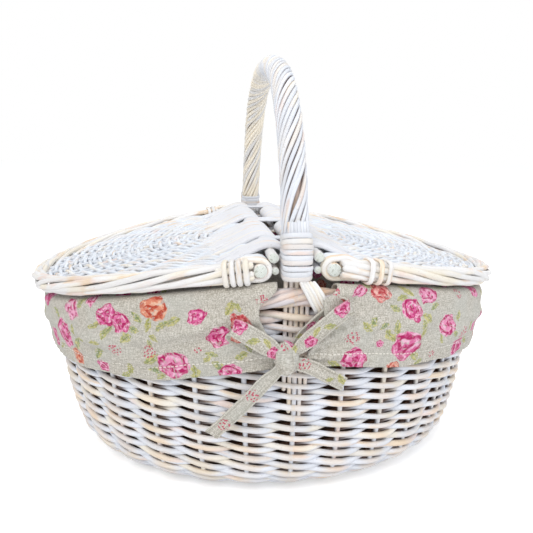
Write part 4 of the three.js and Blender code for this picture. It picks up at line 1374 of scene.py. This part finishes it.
def liner_skirt(name, side):
    """One half of the turned-over skirt: from inside the rim, over it and down to the gathered hem."""
    rng = np.random.default_rng(101 + side)
    rows, columns = 120, 360
    share = np.linspace(0, 1, rows)  # 0 at the hem, 1 inside the rim

    # half width of the opening round the handle leg: a U that narrows towards the hem, and that the cloth
    # crosses further over on the side where the rim is tied
    wide = 5 + 22 * smoothstep(0.02, 0.62, share) ** 0.9 - 12.5 * smoothstep(0.66, 0.82, share)
    narrow = 5 + 10.5 * smoothstep(0.02, 0.5, share) + 11.5 * smoothstep(0.72, 0.84, share)
    across = np.linspace(-1, 1, columns)[None]
    tied = side * across < 0
    sweep = np.arccos(np.where(tied, narrow[:, None], wide[:, None]) / 205)
    angle = across * sweep
    level = np.abs(np.cos(angle))
    raised = np.interp(level, *(LEFT_HEM if side < 0 else RIGHT_HEM))
    hem = hem_height(angle) + raised
    r, z, s = skirt_section(angle, share, hem, level)

    u = -(np.abs(angle) - sweep) * CLOTH_PER_TURN  # from the nearer opening along the rim
    turn = np.linspace(-QUARTER, QUARTER, 400)
    along = np.interp(angle, turn, arc_length(on_oval(172.0, turn, 150.0)))  # from the front centre
    round_rim = angle * CLOTH_PER_TURN
    v = z - hem
    down = smoothstep(0.72, 0.55, s)  # free-hanging part only
    soft = waves(rng, 7, 130, 24)(round_rim, v)
    folds = waves(rng, 6, 60, 90)(round_rim, v)
    crease = np.abs(waves(rng, 5, 150, 42)(round_rim, v)) ** 0.7
    crease = crease + 0.6 * np.abs(waves(rng, 5, 70, 60)(round_rim, v)) ** 0.7
    pleats = np.sin(round_rim * TAU / 7.5 + 1.5 * folds) * np.exp(-u / 26)
    ripple = np.sin(round_rim * TAU / 11 + 2.2 * soft)
    loose = 1.6 if side < 0 else 1.0  # the left half hangs in deeper folds
    lift = loose * (2.2 * soft + 2.5 * crease) * smoothstep(4, 22, v)
    lift = lift + 1.8 * folds * smoothstep(6, 30, v) + pleats
    # folds that spread from the knot
    from_knot = np.hypot(u + 8, v - 8)
    lift = lift + 1.8 * np.sin(12 * np.arctan2(v - 8, u + 8) + 1.5 * soft) * np.exp(-from_knot / 50)
    lift = lift * (1 - 0.85 * smoothstep(0.72, 0.95, level))
    lift = lift - 1.6 * hump(v, 46, 9) + 1.6 * hump(v, 28, 12)
    # the casing of the cord: two stitched rows with the cord between them
    lift = lift + 0.7 * hump(v, 6.5, 4.2) + 0.35 * ripple * smoothstep(26, 6, v)
    lift = lift - 0.55 * (hump(v, STITCH_ROW, 1.0) + 0.8 * hump(v, 1.6, 0.8))
    lift = np.maximum(lift * down, -1.2 * down) + 1.1 * down
    lift = lift + 0.5 * folds * smoothstep(0.60, 0.68, s) * smoothstep(0.9, 0.8, s)
    lift = lift + 5.6 * tied * smoothstep(22, 11, u) * smoothstep(150, 158, z) * smoothstep(188, 182, z)
    r, z, lift = (smoothed(values, 8) for values in (r, z, lift))
    edge_curl = 1.6 * np.exp(-u / 3.0) * down
    hem_wave = 0.9 * waves(rng, 5, 70, 400)(round_rim, v) * smoothstep(18, 0, v)
    grid = on_oval(r + lift + edge_curl, angle, z + hem_wave) * [side, 1, 1]
    steps = np.linalg.norm(np.diff(grid, axis=0), axis=-1)
    over_edge = np.concatenate([np.zeros((1, columns)), np.cumsum(steps, 0)])
    cloth = np.stack([along, over_edge + raised], -1)
    if side < 0:
        grid, cloth, over_edge = grid[:, ::-1], cloth[:, ::-1], over_edge[:, ::-1]
    sheet(
        f"{name}_skirt", f"liner_skirt_{name}", grid, CLOTH, cloth, PRINTED_LINEN,
        LEFT_PRINT if side < 0 else RIGHT_PRINT, above_hem=over_edge,
    )


def liner_bag():
    """The lining inside the weave, from the floor up to the rim."""
    rng = np.random.default_rng(111)
    angle = np.linspace(-math.pi, math.pi, 300, endpoint=False)[None]
    floor_r = EDGE_HALF_DEPTH - 44
    floor_rows = np.linspace(0.01, 0.96, 18)[:, None]
    x = floor_rows * (floor_r + STRETCH_AT_BASE + 6) * np.cos(angle)
    y = floor_rows * floor_r * np.sin(angle)
    floor = xyz(x, y, LINING_FLOOR_Z)
    z = lerp(LINING_FLOOR_Z, rim_top(angle) - 11, np.linspace(0, 1, 60)[:, None])
    edge = np.clip((z - BASE_THICKNESS) / (WALL_SPRING_Z + 6 - BASE_THICKNESS), 0, 1)
    bowl = np.sqrt(1 - (1 - edge) ** 2)
    r = lerp(floor_r - 1, wall_half_depth(z) - WEAVE_DEPTH * 2 - 0.6, bowl)
    ripples = waves(rng, 8, 60, 300)(angle * 180 + 0 * z, z)
    sag = waves(rng, 5, 150, 60)(angle * 180 + 0 * z, z)
    r = r - 1.2 - (1.1 * ripples + 0.8 * sag) * smoothstep(0, 30, z - BASE_THICKNESS)
    # the splints of the handle's legs need room
    clear = 5.5 * hump(np.abs(angle), QUARTER, 0.075) * smoothstep(20, 60, z)
    # behind the skirt's inner fold the lining stands against the rim
    r = lerp(r, RIM_HALF_DEPTH - RIM_WIDTH - 0.9, smoothstep(22, 14, rim_top(angle) - z))
    wall = on_oval(r - clear, angle, z)
    grid = np.concatenate([floor, wall])
    steps = np.diff(wall[:, :1], axis=0, prepend=floor[-1:, :1])
    rise = np.cumsum(np.linalg.norm(steps, axis=-1), 0)
    wall_cloth = np.stack([angle * CLOTH_PER_TURN + 400 + 0 * z, rise + 0 * z], -1)
    cloth = np.concatenate([np.stack([x + 400, y + 300], -1), wall_cloth])
    sheet(
        "liner_lining", "liner_bag", grid[:, ::-1], CLOTH, cloth[:, ::-1], LINING_LINEN,
        RIGHT_PRINT, wrap=TAU * CLOTH_PER_TURN,
    )


# ---------------------------------------------------------------- bows
BOW_SHIFT = (-3.6, 0, 5.0)  # from the CAD bow, towards its place in the photo
KNOT = sum(node_box("front_bow_knot")) / 2 + BOW_SHIFT
RIBBON_WIDTH = 12.0
RIBBON = 0.9
KNOT_TURN = 6.0  # length along the cloth for one radian round the knot
# name, side, how far the tip is to the side and up, how far the band behind is raised, and the print's start:
# the band behind hangs lower on the left loop and stands higher on the right one
LOOPS = (("left", -1, 38.5, 24.5, -4.6, 60), ("right", 1, 46.5, 37.5, 4.5, 50))
TAILS = {
    "left": [
        (-3, -1.5, -6), (-8, 0.5, -13), (-16, 1.5, -21),
        (-27, 2.5, -33.5), (-40, 5.5, -48), (-53.9, 9.0, -63),
    ],
    "right": [(3, -1.5, -4), (10, 1.0, -6), (21, 2.6, -10.5), (32, 3.0, -17), (45, 3.4, -24.5)],
}


def ribbon(name, node, path, way, width, rear, pattern, start, seed, frayed=False, wave=0.35):
    """A flat band of doubled cloth along a path; way is the direction across it at each point."""
    rng = np.random.default_rng(seed)
    across = np.linspace(-0.5, 0.5, 15)[:, None]
    along = unit(np.gradient(path, axis=0))
    way = unit(np.broadcast_to(way, path.shape))
    way = unit(way - along * (way * along).sum(-1, keepdims=True))
    normal = np.cross(along, way)
    s = arc_length(path)
    crease = Wobble(rng, 18, wave)
    puff = 0.5 * np.cos(across * TAU * 0.9)
    lengthwise = waves(rng, 4, 14, 40)(across * 20 + 0 * s, s + 0 * across)
    seam = -0.35 * hump(np.abs(across), 0.40, 0.035)
    out = wave * lengthwise + crease(s) * across * 2 + (puff * 0.4 + seam)
    grid = path + way * (across * width)[..., None] + normal * out[..., None]
    if frayed:
        ragged = rng.uniform(-0.5, 0.9, len(across))[:, None] + 1.2 * across
        grid[:, -1] += along[-1] * ragged
    cloth = np.stack([s + 0 * across + start, across * width + 40], -1)
    if rear:
        grid = grid * [-1, -1, 1]
    from_edge = TIE_EDGE + (0.5 - np.abs(across)) * width
    sheet(
        name, node, grid, RIBBON, cloth, PRINTED_LINEN, pattern,
        both_sides=True, above_hem=from_edge,
    )


def bow_loop(prefix, rear, seed, name, side, reach, rise, behind, start):
    tip = np.array([side * reach, 0.0, rise])
    length = np.linalg.norm(tip)
    ahead = tip / length
    across = unit(np.cross(ahead, [0, 1, 0])) * side
    # towards the tip, to the rear and across, for each point
    third, most = 0.35 * length, 0.7 * length
    front = [(2, -2, 0), (10, -5, 0.6), (third, -6.4, 1.6), (most, -6.6, 2), (length - 4, -6, 1.6)]
    turn = [(length - 0.4, -4.0, 0.4), (length - 0.9, -1.4, behind * 0.5), (length - 4.5, 0.5, behind * 0.95)]
    back = [(most, 1.2, behind), (third, 1.2, behind * 0.65), (10, 0.6, behind * 0.25), (2, 0.2, 0)]
    path = spline([ahead * a + across * c + [0, b, 0] + KNOT for a, b, c in front + turn + back], 110)
    s = np.linspace(0, 1, 110)
    width = RIBBON_WIDTH * (0.6 + 0.55 * smoothstep(0.0, 0.2, s) * smoothstep(1.0, 0.8, s))
    width = width * (1 - 0.12 * hump(s, 0.5, 0.06))
    way = across - [0, 0.22 * np.sign(behind), 0]
    node = f"{prefix}_bow_loop_{name}"
    ribbon(f"{prefix}_loop_{name}", node, path, way, width, rear, TIE_PRINT, start, seed + (name == "left"))


def bow_tail(prefix, rear, seed, name, points):
    path = spline(np.array(points) + KNOT, 90)
    width = RIBBON_WIDTH * 0.92 * lerp(0.7, 1.0, smoothstep(0, 0.25, np.linspace(0, 1, 90)))
    way = unit(np.cross(unit(np.gradient(path, axis=0)), [0, -1, 0]))
    start = 0 if name == "left" else 52
    ribbon(
        f"{prefix}_tail_{name}", f"{prefix}_bow_tail_{name}", path, way, width, rear, TAIL_PRINT, start,
        seed + 2 + (name == "left"), frayed=True, wave=0.3,
    )


def bow_knot(prefix, rear):
    """The knot: a folded band pulled over the crossing, narrower at the top."""
    t = np.linspace(-1, 1, 48)[:, None]
    a = np.linspace(0, TAU, 72, endpoint=False)[None]
    cap = np.sqrt(np.clip(1 - np.abs(t) ** 3.0, 0.0004, 1))
    half_width = (8.6 - 3.4 * smoothstep(0.2, -1.0, t) - 2.2 * smoothstep(0.3, 1.0, t)) * cap
    half_depth = (4.6 - 0.6 * t) * cap
    folds = np.sin(4 * a + 2.4 * t + 0.8) + 0.55 * np.sin(9 * a - 3.0 * t)
    c, s = squarish(a, 0.8)
    x = c * half_width + folds * cap - 1.6 * t
    y = s * half_depth + 0.8 * folds * cap - 1.6
    z = 12.8 * t + 0.8 * np.cos(a + 0.6)
    grid = xyz(x, y, z - 0.5) + KNOT
    if rear:
        grid = grid * [-1, -1, 1]
    cloth = np.stack([a * KNOT_TURN + 0 * t + 12, z + 30], -1)
    node = f"{prefix}_bow_knot"
    around = TAU * KNOT_TURN
    sheet(f"{prefix}_knot", node, grid, RIBBON, cloth, PRINTED_LINEN, TIE_PRINT, wrap=around)


def bow(prefix, rear):
    seed = 5 if rear else 0
    for loop in LOOPS:
        bow_loop(prefix, rear, seed, *loop)
    for name, points in TAILS.items():
        bow_tail(prefix, rear, seed, name, points)
    bow_knot(prefix, rear)


# ---------------------------------------------------------------- stage
FLOOR_REACH = 6.0  # metres


def placed(name, data, place=(0, 0, 0), turn=(1, 0, 0, 0)):
    made = bpy.data.objects.new(name, data)
    made.location = place
    made.rotation_mode = "QUATERNION"
    made.rotation_quaternion = turn
    bpy.context.scene.collection.objects.link(made)
    return made


def camera():
    """The photograph's viewpoint: a little to the left, looking slightly down."""
    azimuth, distance, height = math.radians(-7.74), 567.3, 283.9
    pitch, roll = math.radians(-12.6), math.radians(0.574)
    data = bpy.data.cameras.new("camera")
    data.lens = 38.63
    data.sensor_width = 36.0
    out = Vector((math.sin(azimuth), -math.cos(azimuth), 0))
    forward = -out * math.cos(pitch) + Vector((0, 0, math.sin(pitch)))
    turn = forward.to_track_quat("-Z", "Y") @ Matrix.Rotation(roll, 3, "Z").to_quaternion()
    bpy.context.scene.camera = placed("camera", data, (out * distance + Vector((0, 0, height))) * MM, turn)


def area_light(name, place, target, size, power, colour=(1, 1, 1)):
    data = bpy.data.lights.new(name, "AREA")
    data.shape = "DISK"
    data.size = size
    data.energy = power
    data.color = colour
    placed(name, data, place, (Vector(target) - Vector(place)).to_track_quat("-Z", "Y"))


def floor():
    mesh = bpy.data.meshes.new("floor")
    corners = [(x * FLOOR_REACH, y * FLOOR_REACH, 0) for x, y in ((-1, -1), (1, -1), (1, 1), (-1, 1))]
    mesh.from_pydata(corners, [], [(0, 1, 2, 3)])
    material, g, surface = new_material(
        "floor", Base_Color=(0.93, 0.93, 0.93, 1), Roughness=0.9, Specular_IOR_Level=0.1,
        Emission_Color=(1, 1, 1, 1),
    )
    # only the camera sees this glow, which keeps the far floor as white as the near floor
    g.put(surface.inputs["Emission Strength"], g.times(g.node("LightPath").outputs["Is Camera Ray"], 0.42))
    mesh.materials.append(material)
    placed("floor", mesh)


def studio():
    world = bpy.data.worlds.new("studio")
    bpy.context.scene.world = world
    world.use_nodes = True
    g = Graph(world.node_tree)
    background = world.node_tree.nodes["Background"]
    seen = g.node("LightPath").outputs["Is Camera Ray"]
    g.put(background.inputs["Color"], g.mix(seen, (0.94, 0.96, 1.0, 1), (1, 1, 1, 1)))
    # the backdrop is seen as bright as the floor, and lights the basket less
    g.put(background.inputs["Strength"], g.times(seen, 0.36, 0.64))
    area_light("key", (-1.4, -2.6, 3.25), (0, 0, 0.15), 1.8, 58, (1.0, 0.965, 0.92))
    area_light("fill", (1.5, -1.0, 0.9), (0, 0, 0.15), 1.4, 6.5, (0.93, 0.96, 1.0))
    area_light("top", (0.1, 0.3, 1.9), (0, 0, 0.2), 1.5, 9)
    area_light("front", (-0.6, -4.0, 0.8), (0, 0, 0.2), 2.4, 14, (1.0, 0.98, 0.95))
    bpy.context.scene.view_settings.view_transform = "Standard"


# ---------------------------------------------------------------- assembly
woven_wall()
woven_base()
rope_rim()
handle()
rails()
lids()
for name, side in SIDES:
    liner_skirt(name, side)
liner_bag()
bow("front", rear=False)
bow("rear", rear=True)
camera()
floor()
studio()
